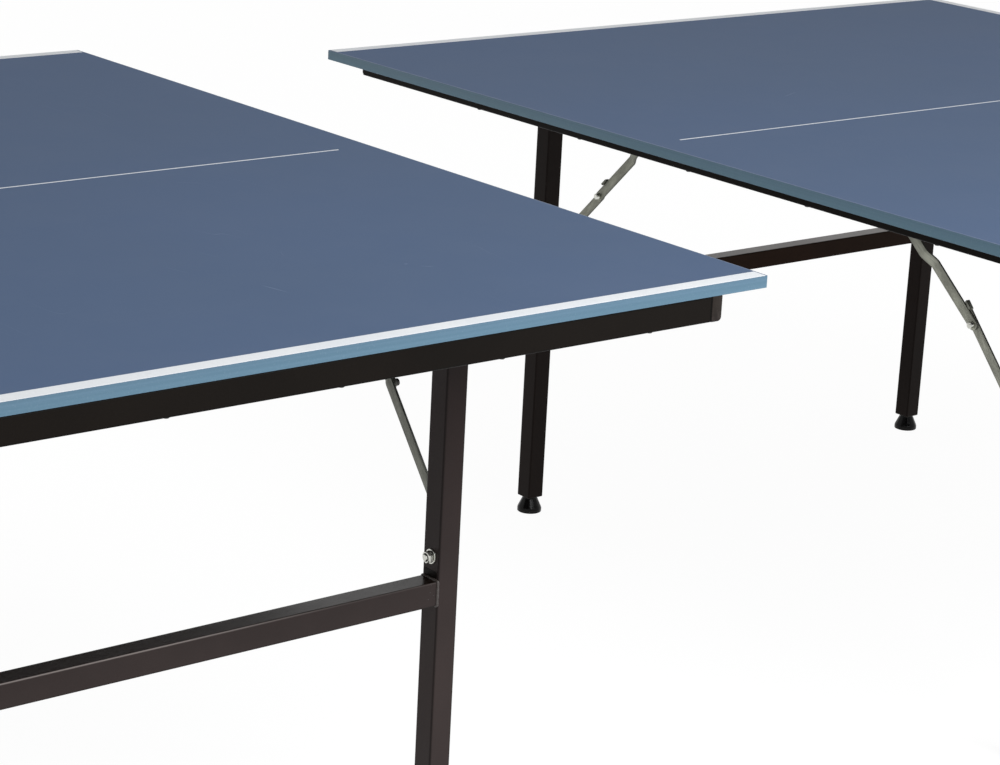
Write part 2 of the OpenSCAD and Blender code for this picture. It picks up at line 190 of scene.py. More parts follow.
def rounded(w, h, radii=2.0, n=6, rest=1.2):
    """A w by h rectangle with a quarter circle of n points at each corner, anticlockwise from the one at +x +y, and
    a resting point on the flat either side of it. Returns the points and their wear."""
    radii = np.broadcast_to(radii, 4)
    parts = []
    for k, (sx, sy) in enumerate([(1, 1), (-1, 1), (-1, -1), (1, -1)]):
        bow = arc(sx * (w / 2 - radii[k]), sy * (h / 2 - radii[k]), radii[k], 90 * k, 90 * k + 90, n)
        before = bow[0] - rest * np.array([-math.sin(math.radians(90 * k)), math.cos(math.radians(90 * k))])
        after = bow[-1] + rest * np.array([-math.cos(math.radians(90 * k)), -math.sin(math.radians(90 * k))])
        parts += [before[None], bow, after[None]]
    rise = np.sin(np.pi * (np.arange(n) + 0.5) / n)
    return np.concatenate(parts), np.tile(np.r_[0.0, rise, 0.0], 4)


def drawn_in(outline, by):
    """Each point moved inwards along the mean normal of its two edges, so that both edges move by the same."""
    edge = np.roll(outline, -1, 0) - outline
    normal = np.stack([-edge[:, 1], edge[:, 0]], 1) / np.linalg.norm(edge, axis=1)[:, None]
    before = np.roll(normal, 1, 0)
    step = (normal + before) / (1 + np.einsum("ij,ij->i", normal, before))[:, None]
    return outline + by * step


def stack(outline, levels):
    """Row i is the outline drawn in by levels[i][1] at the height levels[i][0] along z."""
    return np.array([np.c_[drawn_in(outline, by), np.full(len(outline), z)] for z, by in levels])


def round_shape(radii, heights, cols=48):
    """Point (i, j) is radii[i, j] from the z axis at angle j and height heights[i, j]."""
    t = np.linspace(0, 2 * np.pi, cols, endpoint=False)
    radii = np.asarray(radii, float)
    radii = radii[:, None] * np.ones(cols) if radii.ndim == 1 else radii
    heights = np.broadcast_to(np.asarray(heights, float).reshape(len(radii), -1), radii.shape)
    return np.stack([radii * np.cos(t), radii * np.sin(t), heights], -1)


print("outline of a leg tube:", rounded(30, 30)[0].shape[0], "points")


# %% Strips
def strip(centre, low, high, thick, arris=0.5):
    """A flat strip whose centre line lies in the x-y plane. Section i stands at centre[i], reaches from low[i] to
    high[i] along z, and is thick across, along the normal of the centre line. Corners have the radius arris."""
    way = np.gradient(centre, axis=0)
    way /= np.linalg.norm(way, axis=1)[:, None]
    across = np.stack([way[:, 1], -way[:, 0]], 1)
    corner = arc(0, 0, arris, 0, 90, 4)
    a = np.concatenate([corner[:, 0] + thick / 2 - arris, -corner[::-1, 0] - thick / 2 + arris,
                        -corner[:, 0] - thick / 2 + arris, corner[::-1, 0] + thick / 2 - arris])
    b = np.concatenate([corner[:, 1], corner[::-1, 1], -corner[:, 1], -corner[::-1, 1]])
    up = np.repeat([1, 1, -1, -1], 4) > 0
    edge = np.where(up, high[:, None] - arris, low[:, None] + arris)
    flat = centre[:, None] + across[:, None] * a[None, :, None]
    length = np.r_[0, np.cumsum(np.linalg.norm(np.diff(centre, axis=0), axis=1))]
    flow = np.stack([length[:, None] * np.ones(16), edge + b], -1)
    return np.concatenate([flat, (edge + b)[..., None]], -1), flow


def round_ended(length, r, n=9):
    """Stations along a strip that ends in half circles round 0 and length, and its half width at each one."""
    t = np.radians(np.linspace(6, 90, n))
    s = np.r_[-r * np.cos(t), length + r * np.cos(t[::-1])]
    return s, np.r_[r * np.sin(t), r * np.sin(t[::-1])]


print("stations of a round-ended strip:", len(round_ended(100.0, 7.5)[0]))


# %% Hexagons, threads, shafts and washers
def hexagon(length, af=13.0, chamfer=(False, True)):
    """A hexagon bar cut by a 30 degree cone at the ends that have a chamfer: the radius is the smaller of
    (af / 2) / cos(angle from the nearest flat) and the cone's."""
    t = np.linspace(0, 2 * np.pi, 48, endpoint=False)
    flats = af / 2 / np.cos((t + np.pi / 6) % (np.pi / 3) - np.pi / 6)
    corner, top = af / math.sqrt(3), af * 0.47
    drop = (corner - top) * math.tan(math.radians(30))
    near = drop * np.linspace(0, 1, 5)
    z = np.r_[near if chamfer[0] else 0.0, length - near[::-1] if chamfer[1] else length]
    cone = np.full(len(z), 99.0)
    if chamfer[0]:
        cone = np.minimum(cone, top + z / math.tan(math.radians(30)))
    if chamfer[1]:
        cone = np.minimum(cone, top + (length - z) / math.tan(math.radians(30)))
    return round_shape(np.minimum(flats[None], cone[:, None]), z)


def thread(start, stop, r=4.0, pitch=1.25, depth=0.6):
    """A screw thread: the radius falls by depth times a triangle wave of (z / pitch - angle / full turn)."""
    z = np.linspace(start, stop, max(int((stop - start) / pitch * 6), 4))
    t = np.linspace(0, 1, 24, endpoint=False)
    wave = np.abs(((z[:, None] / pitch - t[None]) % 1.0) * 2 - 1)
    radii = r - depth * wave
    radii[[0, -1]] = r - depth
    return round_shape(radii, z, 24)


def shaft(start, stop, r=4.0, rim=0.4):
    """A smooth round bar with chamfered ends."""
    return round_shape([r - rim, r, r, r - rim], [start, start + rim, stop - rim, stop], 24)


def washer(start, thick, r, rim=0.35):
    """A flat ring with rounded outer arrises."""
    bow = arc(r - rim, 0, rim, -90, 90, 7)
    bow[:, 1] += np.where(bow[:, 1] > 0, thick - rim, rim) + start
    return round_shape(np.r_[r * 0.55, bow[:, 0], r * 0.55], np.r_[start, bow[:, 1], start + thick])


NUT = hexagon(6.5, chamfer=(True, True))
print("thread over a nut:", thread(0, 6.5).shape, "and the nut:", NUT.shape)

# %% [markdown]
# ## Effects that several finishes share
#
# Paint that has been baked on as powder has a faint orange peel. Arrises lose a little of it where they rub. Dust
# settles on what faces up. Fine marks cross a playing surface. Each of these is one node group with named inputs,
# which gives back only masks and heights, so that every material can use it at its own strength and still keep
# its own shader. All patterns are read from Object coordinates, so they stay put when a leg frame folds.

# %% Nodes and arithmetic
def srgb(red, green, blue):
    """A colour in screen values 0 to 255 as the linear values that nodes expect."""
    c = np.array([red, green, blue]) / 255
    c = np.where(c <= 0.04045, c / 12.92, ((c + 0.055) / 1.055) ** 2.4)
    return (*c.tolist(), 1.0)


def put(tree, kind, inputs=None, **settings):
    """Adds one node. A value in inputs is either a number or an output to link."""
    made = tree.nodes.new(kind)
    for key, value in settings.items():
        setattr(made, key, value)
    for key, value in (inputs or {}).items():
        if isinstance(value, bpy.types.NodeSocket):
            tree.links.new(value, made.inputs[key])
        else:
            made.inputs[key].default_value = value
    return made


def calc(tree, operation, a, b=0.0):
    """One step of arithmetic."""
    return put(tree, "ShaderNodeMath", {0: a, 1: b}, operation=operation).outputs[0]


def times(tree, a, b):
    """The product of two values."""
    return calc(tree, "MULTIPLY", a, b)


def spread(tree, value, low, high, to_low=0.0, to_high=1.0):
    """Carries value from low..high smoothly to to_low..to_high and holds it there."""
    made = put(tree, "ShaderNodeMapRange", {0: value, 1: low, 2: high, 3: to_low, 4: to_high},
               interpolation_type="SMOOTHSTEP")
    return made.outputs[0]


print("mid grey as nodes expect it:", [round(v, 3) for v in srgb(128, 128, 128)])


# %% Noise, colours and what the mesh carries
def noise(tree, vector, scale, detail=3.0, rough=0.55):
    """Cloudy values round 0.5, with scale as cells per metre."""
    inputs = {"Vector": vector, "Scale": scale, "Detail": detail, "Roughness": rough}
    return put(tree, "ShaderNodeTexNoise", inputs).outputs[0]


def clouds(tree, vector, scale, detail=4.0):
    """Cloudy values carried out to the whole range from 0 to 1."""
    return spread(tree, noise(tree, vector, scale, detail), 0.3, 0.7)


def stretched(tree, vector, scale, turn=(0.0, 0.0, 0.0)):
    """The coordinates turned and then stretched, so that round cells become long ones."""
    inputs = {"Vector": vector, "Rotation": turn, "Scale": scale}
    return put(tree, "ShaderNodeMapping", inputs).outputs[0]


def mixed(tree, factor, first, second, most=1.0):
    """Colour from first to second by the factor times most. A colour is an output or three screen values."""
    factor = factor if most == 1.0 else times(tree, factor, most)
    made = put(tree, "ShaderNodeMix", {"Factor": factor}, data_type="RGBA")
    for socket, value in ((made.inputs[6], first), (made.inputs[7], second)):
        if isinstance(value, bpy.types.NodeSocket):
            tree.links.new(value, socket)
        else:
            socket.default_value = srgb(*value)
    return made.outputs[2]


def place_on(tree, output="Object"):
    """The place on the piece in metres, or its Normal."""
    return put(tree, "ShaderNodeTexCoord").outputs[output]


def stored(tree, name, output):
    """What the mesh carries at each point: Fac of wear, or Vector of flow."""
    return put(tree, "ShaderNodeAttribute", None, attribute_name=name).outputs[output]


def number(tree, vector, i):
    """One of the three numbers of a vector."""
    return put(tree, "ShaderNodeSeparateXYZ", {0: vector}).outputs[i]


print("a noise cell at the scale 110 is", round(1000 / 110, 1), "mm wide")


# %% Node groups
def effect(name, inputs, outputs, build):
    """A node group with number sockets. build(tree, given) returns the outputs by name."""
    tree = bpy.data.node_groups.new(name, "ShaderNodeTree")
    for label, value in inputs.items():
        made = tree.interface.new_socket(label, in_out="INPUT", socket_type="NodeSocketFloat")
        made.default_value = value
    for label in outputs:
        tree.interface.new_socket(label, in_out="OUTPUT", socket_type="NodeSocketFloat")
    given = put(tree, "NodeGroupInput").outputs
    end = put(tree, "NodeGroupOutput")
    for label, value in build(tree, given).items():
        tree.links.new(value, end.inputs[label])
    return tree


def use(tree, group, **inputs):
    """Places an effect in a material with its own values and returns its outputs."""
    return put(tree, "ShaderNodeGroup", inputs, node_tree=group).outputs


print("node groups so far:", len(bpy.data.node_groups))


# %% Orange peel, wear and dust
def build_peel(tree, given):
    """Orange peel: the height is cloudy noise with cells as wide as Size millimetres; flecks are its finest peaks."""
    place = place_on(tree)
    scale = calc(tree, "DIVIDE", 1000.0, given["Size"])
    height = noise(tree, place, scale, 2.0)
    fine = noise(tree, place, times(tree, scale, 3.3), 2.0, 0.7)
    return {"Height": height, "Fleck": spread(tree, fine, 0.55, 0.75)}


def build_wear(tree, given):
    """Worn arrises: the mesh's own wear value, broken up by noise and let through above a threshold."""
    place = place_on(tree)
    arris = stored(tree, "wear", "Fac")
    patches = noise(tree, place, 38.0, 4.0, 0.6)
    fine = noise(tree, place, 420.0, 2.0)
    level = calc(tree, "ADD", times(tree, patches, 0.7), times(tree, fine, 0.3))
    level = calc(tree, "ADD", level, times(tree, given["Amount"], 0.5))
    return {"Mask": times(tree, arris, spread(tree, level, 0.62, 0.78))}


def build_dust(tree, given):
    """Settled dust: how far the surface faces up, times broad noise and the Amount."""
    up = number(tree, place_on(tree, "Normal"), 2)
    cloud = noise(tree, place_on(tree), 9.0, 4.0, 0.65)
    mask = times(tree, spread(tree, up, 0.5, 1.0), spread(tree, cloud, 0.3, 0.75))
    return {"Mask": times(tree, mask, given["Amount"])}


PEEL = effect("Orange peel", {"Size": 2.0}, ["Height", "Fleck"], build_peel)
WEAR = effect("Worn arris", {"Amount": 0.3}, ["Mask"], build_wear)
DUST = effect("Settled dust", {"Amount": 0.3}, ["Mask"], build_dust)
print("effects:", [g.name for g in bpy.data.node_groups])

# %% Marks and rolled steel
# x, y, length and width in metres, and a turn in degrees
SCUFFS = ((-0.519, -0.450, 0.004, 0.003, 0), (-0.504, -0.470, 0.009, 0.0018, -38),
          (-0.711, -0.470, 0.024, 0.0018, -77), (0.62, 0.10, 0.030, 0.0016, 24), (0.94, -0.31, 0.012, 0.0018, -51))


def build_marks(tree, given):
    """Hairline marks: thin contour lines of stretched noise, kept only inside a few patches, and a few short scuffs,
    each of them where the distance from its middle, measured in its own length and width, is below 1."""
    place, total = place_on(tree), 0.0
    for turn, seed in ((0.5, 3.1), (-0.9, 7.7)):
        way = stretched(tree, place, (6.0, 1.1, 1.0), (0.0, 0.0, turn))
        line = noise(tree, way, 2.3 + seed * 0.1, 1.0, 0.4)
        line = spread(tree, calc(tree, "ABSOLUTE", calc(tree, "SUBTRACT", line, 0.5)), 0.0, 0.0022, 1.0, 0.0)
        patch = noise(tree, stretched(tree, place, (1.0, 1.0, 1.0), (0, 0, seed)), 5.5, 1.0)
        both = times(tree, line, spread(tree, patch, 0.66, 0.76))
        total = calc(tree, "MAXIMUM", total, times(tree, both, 0.5))
    broken = spread(tree, noise(tree, place, 260.0, 2.0), 0.35, 0.6, 0.25, 0.5)
    for x, y, long, wide, turn in SCUFFS:
        inputs = {"Vector": place, "Location": (x, y, HEIGHT / 1000), "Scale": (long, wide, 1.0),
                  "Rotation": (0, 0, math.radians(turn))}
        own = put(tree, "ShaderNodeMapping", inputs, vector_type="TEXTURE").outputs[0]
        away = put(tree, "ShaderNodeVectorMath", {0: own}, operation="LENGTH").outputs["Value"]
        total = calc(tree, "MAXIMUM", total, times(tree, spread(tree, away, 0.4, 1.0, 1.0, 0.0), broken))
    return {"Mask": times(tree, total, given["Amount"])}


def build_rolled(tree, _):
    """Rolled steel: noise read from the mesh's flow, many times longer along the strip than across it."""
    flow = stored(tree, "flow", "Vector")
    streak = noise(tree, stretched(tree, flow, (0.02, 1.2, 1.0)), 1.0, 4.0, 0.6)
    cloud = noise(tree, stretched(tree, flow, (0.03, 0.09, 1.0)), 1.0, 4.0, 0.6)
    return {"Streak": streak, "Cloud": cloud}


MARKS = effect("Hairline marks", {"Amount": 0.5}, ["Mask"], build_marks)
ROLLED = effect("Rolled steel", {}, ["Streak", "Cloud"], build_rolled)
print("effects:", [g.name for g in bpy.data.node_groups])


# %% [markdown]
# ## Finishes
#
# A finish is a Principled shader fed by the effects. What is the same all over, such as the specular level of a
# satin paint, is set on the shader itself; what changes over the surface comes through nodes.

# %% A finish and its bump
def cleared(data):
    """The empty node tree of a world or a material."""
    data.use_nodes = True
    data.node_tree.nodes.clear()
    return data.node_tree


def finish(name, tone, build, **constants):
    """A material. build(tree) returns links for the Principled shader by socket name; constants are set on it.
    The tone is what a plain view shows it in."""
    material = bpy.data.materials.new(name)
    tree = cleared(material)
    shader = put(tree, "ShaderNodeBsdfPrincipled")
    put(tree, "ShaderNodeOutputMaterial", {"Surface": shader.outputs[0]})
    for key, value in constants.items():
        shader.inputs[key.replace("_", " ")].default_value = value
    for key, value in build(tree).items():
        tree.links.new(value, shader.inputs[key])
    material.diffuse_color = srgb(*tone)
    return material


def skin(tree, colour, rough, height, strength, depth):
    """What every finish hands to its shader: a colour, a roughness, and the normal that a height field gives,
    with its depth in metres."""
    inputs = {"Strength": strength, "Distance": depth, "Height": height}
    return {"Base Color": colour, "Roughness": rough, "Normal": put(tree, "ShaderNodeBump", inputs).outputs[0]}


print("effects ready for the finishes:", len(bpy.data.node_groups))


# %% [markdown]
# ### The playing surface
#
# The top is chipboard under a satin blue lacquer, printed with white lines and closed by a pale blue plastic band.
# Lacquer is never one colour: it has broad clouds of a percent or two, fine flecks, and hairline marks from play.
# The underside is only sealed, and the chips show through.

# %% Lacquer and lines
def lacquer(tree):
    """Blue in clouds of a percent or two, under pale flecks, pale dull hairline marks and a breath of dust."""
    cloud = clouds(tree, place_on(tree), 1.7)
    colour = mixed(tree, cloud, (85, 104, 134), (87, 106, 137))
    peel = use(tree, PEEL, Size=1.1)
    colour = mixed(tree, peel["Fleck"], colour, (110, 128, 152), 0.06)
    marks = use(tree, MARKS, Amount=0.5)["Mask"]
    colour = mixed(tree, marks, colour, (150, 164, 186))
    colour = mixed(tree, use(tree, DUST, Amount=0.012)["Mask"], colour, (190, 188, 182))
    rough = calc(tree, "ADD", spread(tree, cloud, 0.0, 1.0, 0.44, 0.46), times(tree, marks, 0.2))
    return skin(tree, colour, rough, peel["Height"], 0.25, 0.0002)


def line_paint(tree):
    """White in faint clouds, greyer in flecks, with a roughness that follows the clouds."""
    cloud = clouds(tree, place_on(tree), 14.0)
    peel = use(tree, PEEL, Size=1.0)
    colour = mixed(tree, cloud, (237, 240, 245), (243, 245, 248))
    colour = mixed(tree, peel["Fleck"], colour, (196, 204, 214), 0.06)
    return skin(tree, colour, spread(tree, cloud, 0.0, 1.0, 0.42, 0.5), peel["Height"], 0.2, 0.0002)


BLUE_LACQUER = finish("blue_lacquer", (86, 105, 135), lacquer, Specular_IOR_Level=0.01)
WHITE_LINES = finish("white_line_paint", (232, 234, 238), line_paint, Specular_IOR_Level=0.05)
print("finishes:", [m.name for m in bpy.data.materials])


# %% Band and underside
def band_plastic(low, high):
    """The build step of one band between two tones, streaked along it as it was drawn. Its arrises are darker, as
    painted shade, and what lies in the plane of the board has the board's blue."""
    def build(tree):
        """The streaks are noise that is much finer upwards than along."""
        place = place_on(tree)
        draw = noise(tree, stretched(tree, place, (1.5, 1.5, 260.0)), 1.0, 3.0)
        colour = mixed(tree, spread(tree, draw, 0.3, 0.7), low, high)
        colour = mixed(tree, use(tree, PEEL, Size=7.0)["Fleck"], colour, (176, 194, 206), 0.16)
        # painted shade on the arrises
        colour = mixed(tree, stored(tree, "wear", "Fac"), colour, (70, 82, 104), 0.75)
        colour = mixed(tree, spread(tree, number(tree, place, 2), 0.7594, 0.7598), colour, (84, 103, 133))
        return skin(tree, colour, spread(tree, draw, 0.3, 0.7, 0.36, 0.5), draw, 0.2, 0.0003)
    return build


def sealed_chipboard(tree):
    """Cells a centimetre long, each of its own tone, under one more tone in broad clouds."""
    place = place_on(tree)
    inputs = {"Vector": stretched(tree, place, (1.0, 1.8, 1.0), (0, 0, 0.4)), "Scale": 110.0, "Randomness": 1.0}
    chips = put(tree, "ShaderNodeTexVoronoi", inputs).outputs
    tone = number(tree, chips["Color"], 0)
    colour = mixed(tree, tone, (52, 50, 52), (78, 74, 72))
    colour = mixed(tree, spread(tree, noise(tree, place, 3.0, 4.0), 0.35, 0.75), colour, (60, 62, 68))
    return skin(tree, colour, spread(tree, tone, 0.0, 1.0, 0.6, 0.8), chips["Distance"], 0.4, 0.0006)


# the same band in a paler tone on the right half than on the left, as painted light and shade
BAND_LIGHT_TONES = {"left": ((91, 129, 152), (101, 137, 161)), "right": ((101, 138, 158), (108, 143, 164))}
BAND_PLASTIC = {half: finish(f"blue_band_{half}", low, band_plastic(low, high), Specular_IOR_Level=0.5)
                for half, (low, high) in BAND_LIGHT_TONES.items()}
CHIPBOARD = finish("sealed_chipboard", (62, 60, 60), sealed_chipboard, Specular_IOR_Level=0.25)
print("finishes of the top:", [m.name for m in bpy.data.materials])

# %% [markdown]
# ### The steel, painted and bare
#
# Legs, crossbars and rails are steel tube under black-brown powder coat. The stays are galvanised strip, dull and
# a little green, and the bolts are bright zinc. Bare metal differs from paint in one thing above all: it has no
# colour of its own under the reflection, so it is the roughness that has to change from spot to spot.

# %% Powder coat
def powder(tone, worn=0.1, rough=(0.36, 0.46), painted_floor_light=0.0, arris=0.7, top=None, coat=0.0):
    """The build step of one powder coat with its own tone and gloss. painted_floor_light is how much paler the paint
    gets in
    patches towards the floor: painted light thrown up from the floor, which fades out halfway up a leg. Arrises are
    darker than the flats by the factor arris, as painted shade, except where wear is negative: those get a painted
    highlight, fainter towards the leg on the net side. top is the tone of what faces up, a painted shade where it is
    darker than the paint and a painted light where it is paler, and coat the clear gloss on it."""
    tone = np.array(tone)

    def build(tree):
        """From the paint upwards: clouds, flecks, wear, the painted light from the floor, dust, the painted tone of
        the top, and last the painted shade and highlights of the arrises.
        """
        place = place_on(tree)
        cloud = clouds(tree, place, 6.0)
        peel = use(tree, PEEL, Size=1.6)
        colour = mixed(tree, cloud, tone * 0.92, tone * 1.08)
        colour = mixed(tree, peel["Fleck"], colour, (96, 90, 88), 0.10)
        colour = mixed(tree, use(tree, WEAR, Amount=worn)["Mask"], colour, (100, 94, 90), 0.3)
        # painted light from the floor: the paint gets paler in patches towards the floor, up to halfway up a leg
        patchy = spread(tree, noise(tree, place, 11.0, 5.0, 0.6), 0.2, 0.8, 0.75, 1.0)
        floor_light_patches = times(tree, patchy, spread(tree, number(tree, place, 2), 0.20, 0.62, painted_floor_light, 0.0))
        colour = mixed(tree, floor_light_patches, colour, (118, 107, 104))
        dust = use(tree, DUST, Amount=0.2)["Mask"]
        colour = mixed(tree, dust, colour, (120, 108, 102))
        # the painted highlight on the arrises fades towards the net-side leg; what faces up takes the tone top, as
        # painted shade on the left bars and painted light on the right ones
        reach, gloss = 1.0, {}
        if top:
            reach = spread(tree, number(tree, stored(tree, "flow", "Vector"), 0), 120.0, 420.0, 0.1, 1.0)
            facing = spread(tree, number(tree, place_on(tree, "Normal"), 2), 0.75, 0.98)
            colour = mixed(tree, facing, colour, top)
            gloss = {"Coat Weight": times(tree, facing, coat)}
        # painted shade darkens the arrises, and a painted highlight brightens those where wear is negative
        arris_shade_and_highlight = stored(tree, "wear", "Fac")
        colour = mixed(tree, arris_shade_and_highlight, colour, tone * 0.45, arris)
        bright = calc(tree, "POWER", calc(tree, "MAXIMUM", times(tree, arris_shade_and_highlight, -1.0), 0.0), 3.0)
        colour = mixed(tree, times(tree, bright, reach), colour, (158, 148, 144))
        dull = calc(tree, "ADD", spread(tree, cloud, 0.0, 1.0, *rough), times(tree, dust, 0.3))
        return {**skin(tree, colour, dull, peel["Height"], 0.35, 0.0003), **gloss}
    return build


# left frames and brackets: painted light from the floor on the legs, and painted shade on the arrises
FRAME_PAINT = finish("frame_powder_coat", (46, 40, 39), powder((46, 37, 36), painted_floor_light=0.14), Specular_IOR_Level=0.1)
# left crossbars: darker on top, as painted shade
BAR_PAINT = finish("crossbar_powder_coat", (50, 42, 40),
                   powder((47, 39, 38), painted_floor_light=0.14, arris=0.5, top=(24, 17, 14), coat=0.4),
                   Specular_IOR_Level=0.08, Coat_Roughness=0.16)
# weld beads of the left frames: paler than the frame's coat as a painted highlight, with a real higher gloss
WELD_HIGHLIGHT_PAINT = finish("weld_powder_coat_highlighted", (72, 64, 62), powder((74, 66, 63), 0.3, (0.28, 0.4)), Specular_IOR_Level=0.5)
# right frames: clean paint in a darker tone, as painted shade
CLEAN_SHADED_PAINT = finish("frame_powder_coat_clean_shaded", (30, 25, 24), powder((37, 29, 26), 0.05, arris=0.25),
                     Specular_IOR_Level=0.06)
# right crossbars: paler on top, as painted light
CLEAN_LIT_BAR = finish("crossbar_powder_coat_clean_lit", (30, 25, 24),
                   powder((52, 37, 29), 0.05, top=(97, 82, 75), coat=0.5),
                   Specular_IOR_Level=0.03, Coat_Roughness=0.3)
# rails: arrises fully darkened, as painted shade
RAIL_PAINT = finish("rail_powder_coat", (24, 20, 20), powder((22, 18, 15), rough=(0.40, 0.5), arris=1.0),
                    Specular_IOR_Level=0.06)
print("paints:", [m.name for m in bpy.data.materials if "powder" in m.name])


# %% Zinc, galvanised strip and blackened screws
def bright_zinc(tree):
    """Nearly white metal in fine clouds, smoother where it is worn, with turning marks across the bolt."""
    place = place_on(tree)
    cloud = clouds(tree, place, 120.0, 3.0)
    colour = mixed(tree, cloud, (196, 197, 190), (222, 222, 214))
    worn = use(tree, WEAR, Amount=0.5)["Mask"]
    rough = calc(tree, "SUBTRACT", spread(tree, cloud, 0.0, 1.0, 0.22, 0.38), times(tree, worn, 0.1))
    turned = noise(tree, stretched(tree, place, (400.0, 60.0, 60.0)), 1.0, 2.0)
    return skin(tree, colour, rough, turned, 0.25, 0.0001)


def galvanised(tone):
    """The build step of galvanised strip in the tone given for its frame; the tones of the frames differ as painted
    light and shade. The middle of the strip is paler than its sides: they darken with the distance from the middle
    line, which is the second number of flow."""
    def build(tree):
        """The darker tones are fractions of the strip's own one."""
        rolled = use(tree, ROLLED)
        low, high, streaky, edge = (np.array(tone) * k for k in (0.88, 1.10, 0.70, 0.36))
        colour = mixed(tree, spread(tree, rolled["Cloud"], 0.3, 0.7), low, high)
        colour = mixed(tree, spread(tree, rolled["Streak"], 0.45, 0.75, 0.0, 0.4), colour, streaky)
        off = calc(tree, "ABSOLUTE", number(tree, stored(tree, "flow", "Vector"), 1))
        colour = mixed(tree, spread(tree, off, 2.5, 7.0, 0.0, 0.35), colour, streaky)
        colour = mixed(tree, stored(tree, "wear", "Fac"), colour, edge, 0.7)
        rough = spread(tree, rolled["Streak"], 0.25, 0.75, 0.42, 0.62)
        return skin(tree, colour, rough, rolled["Streak"], 0.3, 0.0002)
    return build


def blackened(tree):
    """Dark metal in very fine clouds, which are also its roughness."""
    cloud = clouds(tree, place_on(tree), 200.0, 3.0)
    colour = mixed(tree, cloud, (50, 49, 50), (74, 72, 70))
    return skin(tree, colour, spread(tree, cloud, 0.0, 1.0, 0.34, 0.5), cloud, 0.2, 0.0001)


ZINC = finish("bright_zinc", (208, 208, 200), bright_zinc, Metallic=1.0)
# the same strip steel in its own tone for each frame: the paler ones painted light, the darker ones painted shade
STRIP_LIGHT_TONES = {"left_front": (132, 133, 124), "left_rear": (132, 133, 124),
               "right_front": (172, 173, 160), "right_rear": (154, 155, 142)}
STRIP_STEEL = {name: finish(f"galvanised_strip_{name}", tone, galvanised(tone), Metallic=0.55)
               for name, tone in STRIP_LIGHT_TONES.items()}
# dark steel of the screw heads, also used as painted shade on the left elbow pins and on the rings at the nuts
DARK_STEEL_AND_SHADE = finish("painted_shade_and_blackened_steel", (62, 61, 60), blackened, Metallic=0.8)
print("metals:", [m.name for m in bpy.data.materials if m.name.endswith(("zinc", "steel")) or "strip" in m.name])

# %% [markdown]
# ### Moulded plastic
#
# The caps and inserts come out of a spark-eroded mould, which leaves a fine even grain. That is the orange peel
# effect again, at half the size. The feet are polished, so all they get is scuffs near the floor and worn arrises.

# %% Caps and feet
def moulded(tree):
    """Warm black in small clouds, paler on worn arrises, with a roughness and a bump that follow the grain."""
    peel = use(tree, PEEL, Size=0.8)
    colour = mixed(tree, clouds(tree, place_on(tree), 30.0, 3.0), (38, 32, 30), (47, 41, 37))
    colour = mixed(tree, use(tree, WEAR, Amount=0.4)["Mask"], colour, (84, 75, 71), 0.4)
    rough = spread(tree, peel["Height"], 0.3, 0.7, 0.38, 0.52)
    return skin(tree, colour, rough, peel["Height"], 0.3, 0.0002)


def polished(tree):
    """Black, paler and duller by the larger of two masks: level scuffs in the last 9 mm above the floor, and wear."""
    place = place_on(tree)
    scuff = noise(tree, stretched(tree, place, (60.0, 60.0, 500.0)), 1.0, 4.0)
    low = spread(tree, number(tree, place, 2), 0.002, 0.009, 1.0, 0.0)
    low = times(tree, times(tree, low, spread(tree, scuff, 0.45, 0.7)), 0.5)
    low = calc(tree, "MAXIMUM", low, times(tree, use(tree, WEAR, Amount=0.4)["Mask"], 0.4))
    colour = mixed(tree, low, (20, 19, 19), (58, 56, 55))
    return skin(tree, colour, spread(tree, low, 0.0, 0.5, 0.18, 0.5), scuff, 0.1, 0.0001)


CAP_PLASTIC = finish("moulded_black_plastic", (46, 42, 40), moulded, Specular_IOR_Level=0.12)
FOOT_PLASTIC = finish("polished_black_plastic", (20, 20, 20), polished, Specular_IOR_Level=0.12)
print("finishes:", len(bpy.data.materials))

# %% [markdown]
# ## The table top
#
# The board is a plain slab inside its band. The band is one strip glued round it: a 2 mm section carried round the
# rectangle with mitred corners. The lines are a film of paint 0.15 mm thick, which runs over the rounded arris of
# the band, as on the real top. Making them separate pieces keeps their edges sharp at any distance.

# %% Carry a section along a level path
def carried(section, path, ring):
    """Section point (d, z) goes d to the left of the path and to the height z. At a corner the sideways step is
    the sum of both normals over 1 + their product, which is the mitre."""
    way = np.roll(path, -1, 0) - path
    way = way if ring else way[:-1]
    normal = np.stack([-way[:, 1], way[:, 0]], 1) / np.linalg.norm(way, axis=1)[:, None]
    before = np.roll(normal, 1, 0) if ring else np.concatenate([normal[:1], normal])
    after = normal if ring else np.concatenate([normal, normal[-1:]])
    step = (before + after) / (1 + np.einsum("ij,ij->i", before, after))[:, None]
    flat = path[:, None] + step[:, None] * section[None, :, :1]
    height = np.broadcast_to(section[:, 1], flat.shape[:2])
    return np.concatenate([flat, height[..., None]], -1)


def corners(x0, y0, x1, y1):
    """The corners of a rectangle, anticlockwise from the one at x0, y0."""
    return np.array([[x0, y0], [x1, y0], [x1, y1], [x0, y1]], float)


BAND, ARRIS = 2.0, 0.8  # the band's thickness and the radius of its upper arris
FILM, LINE, THIN_LINE = 0.15, 20.0, 3.0  # the paint's thickness and the widths of the lines
SURFACE = HEIGHT - FILM
UNDER_FILM = SURFACE - 0.1  # the film reaches a little into the board
print("the board's surface lies at", SURFACE)

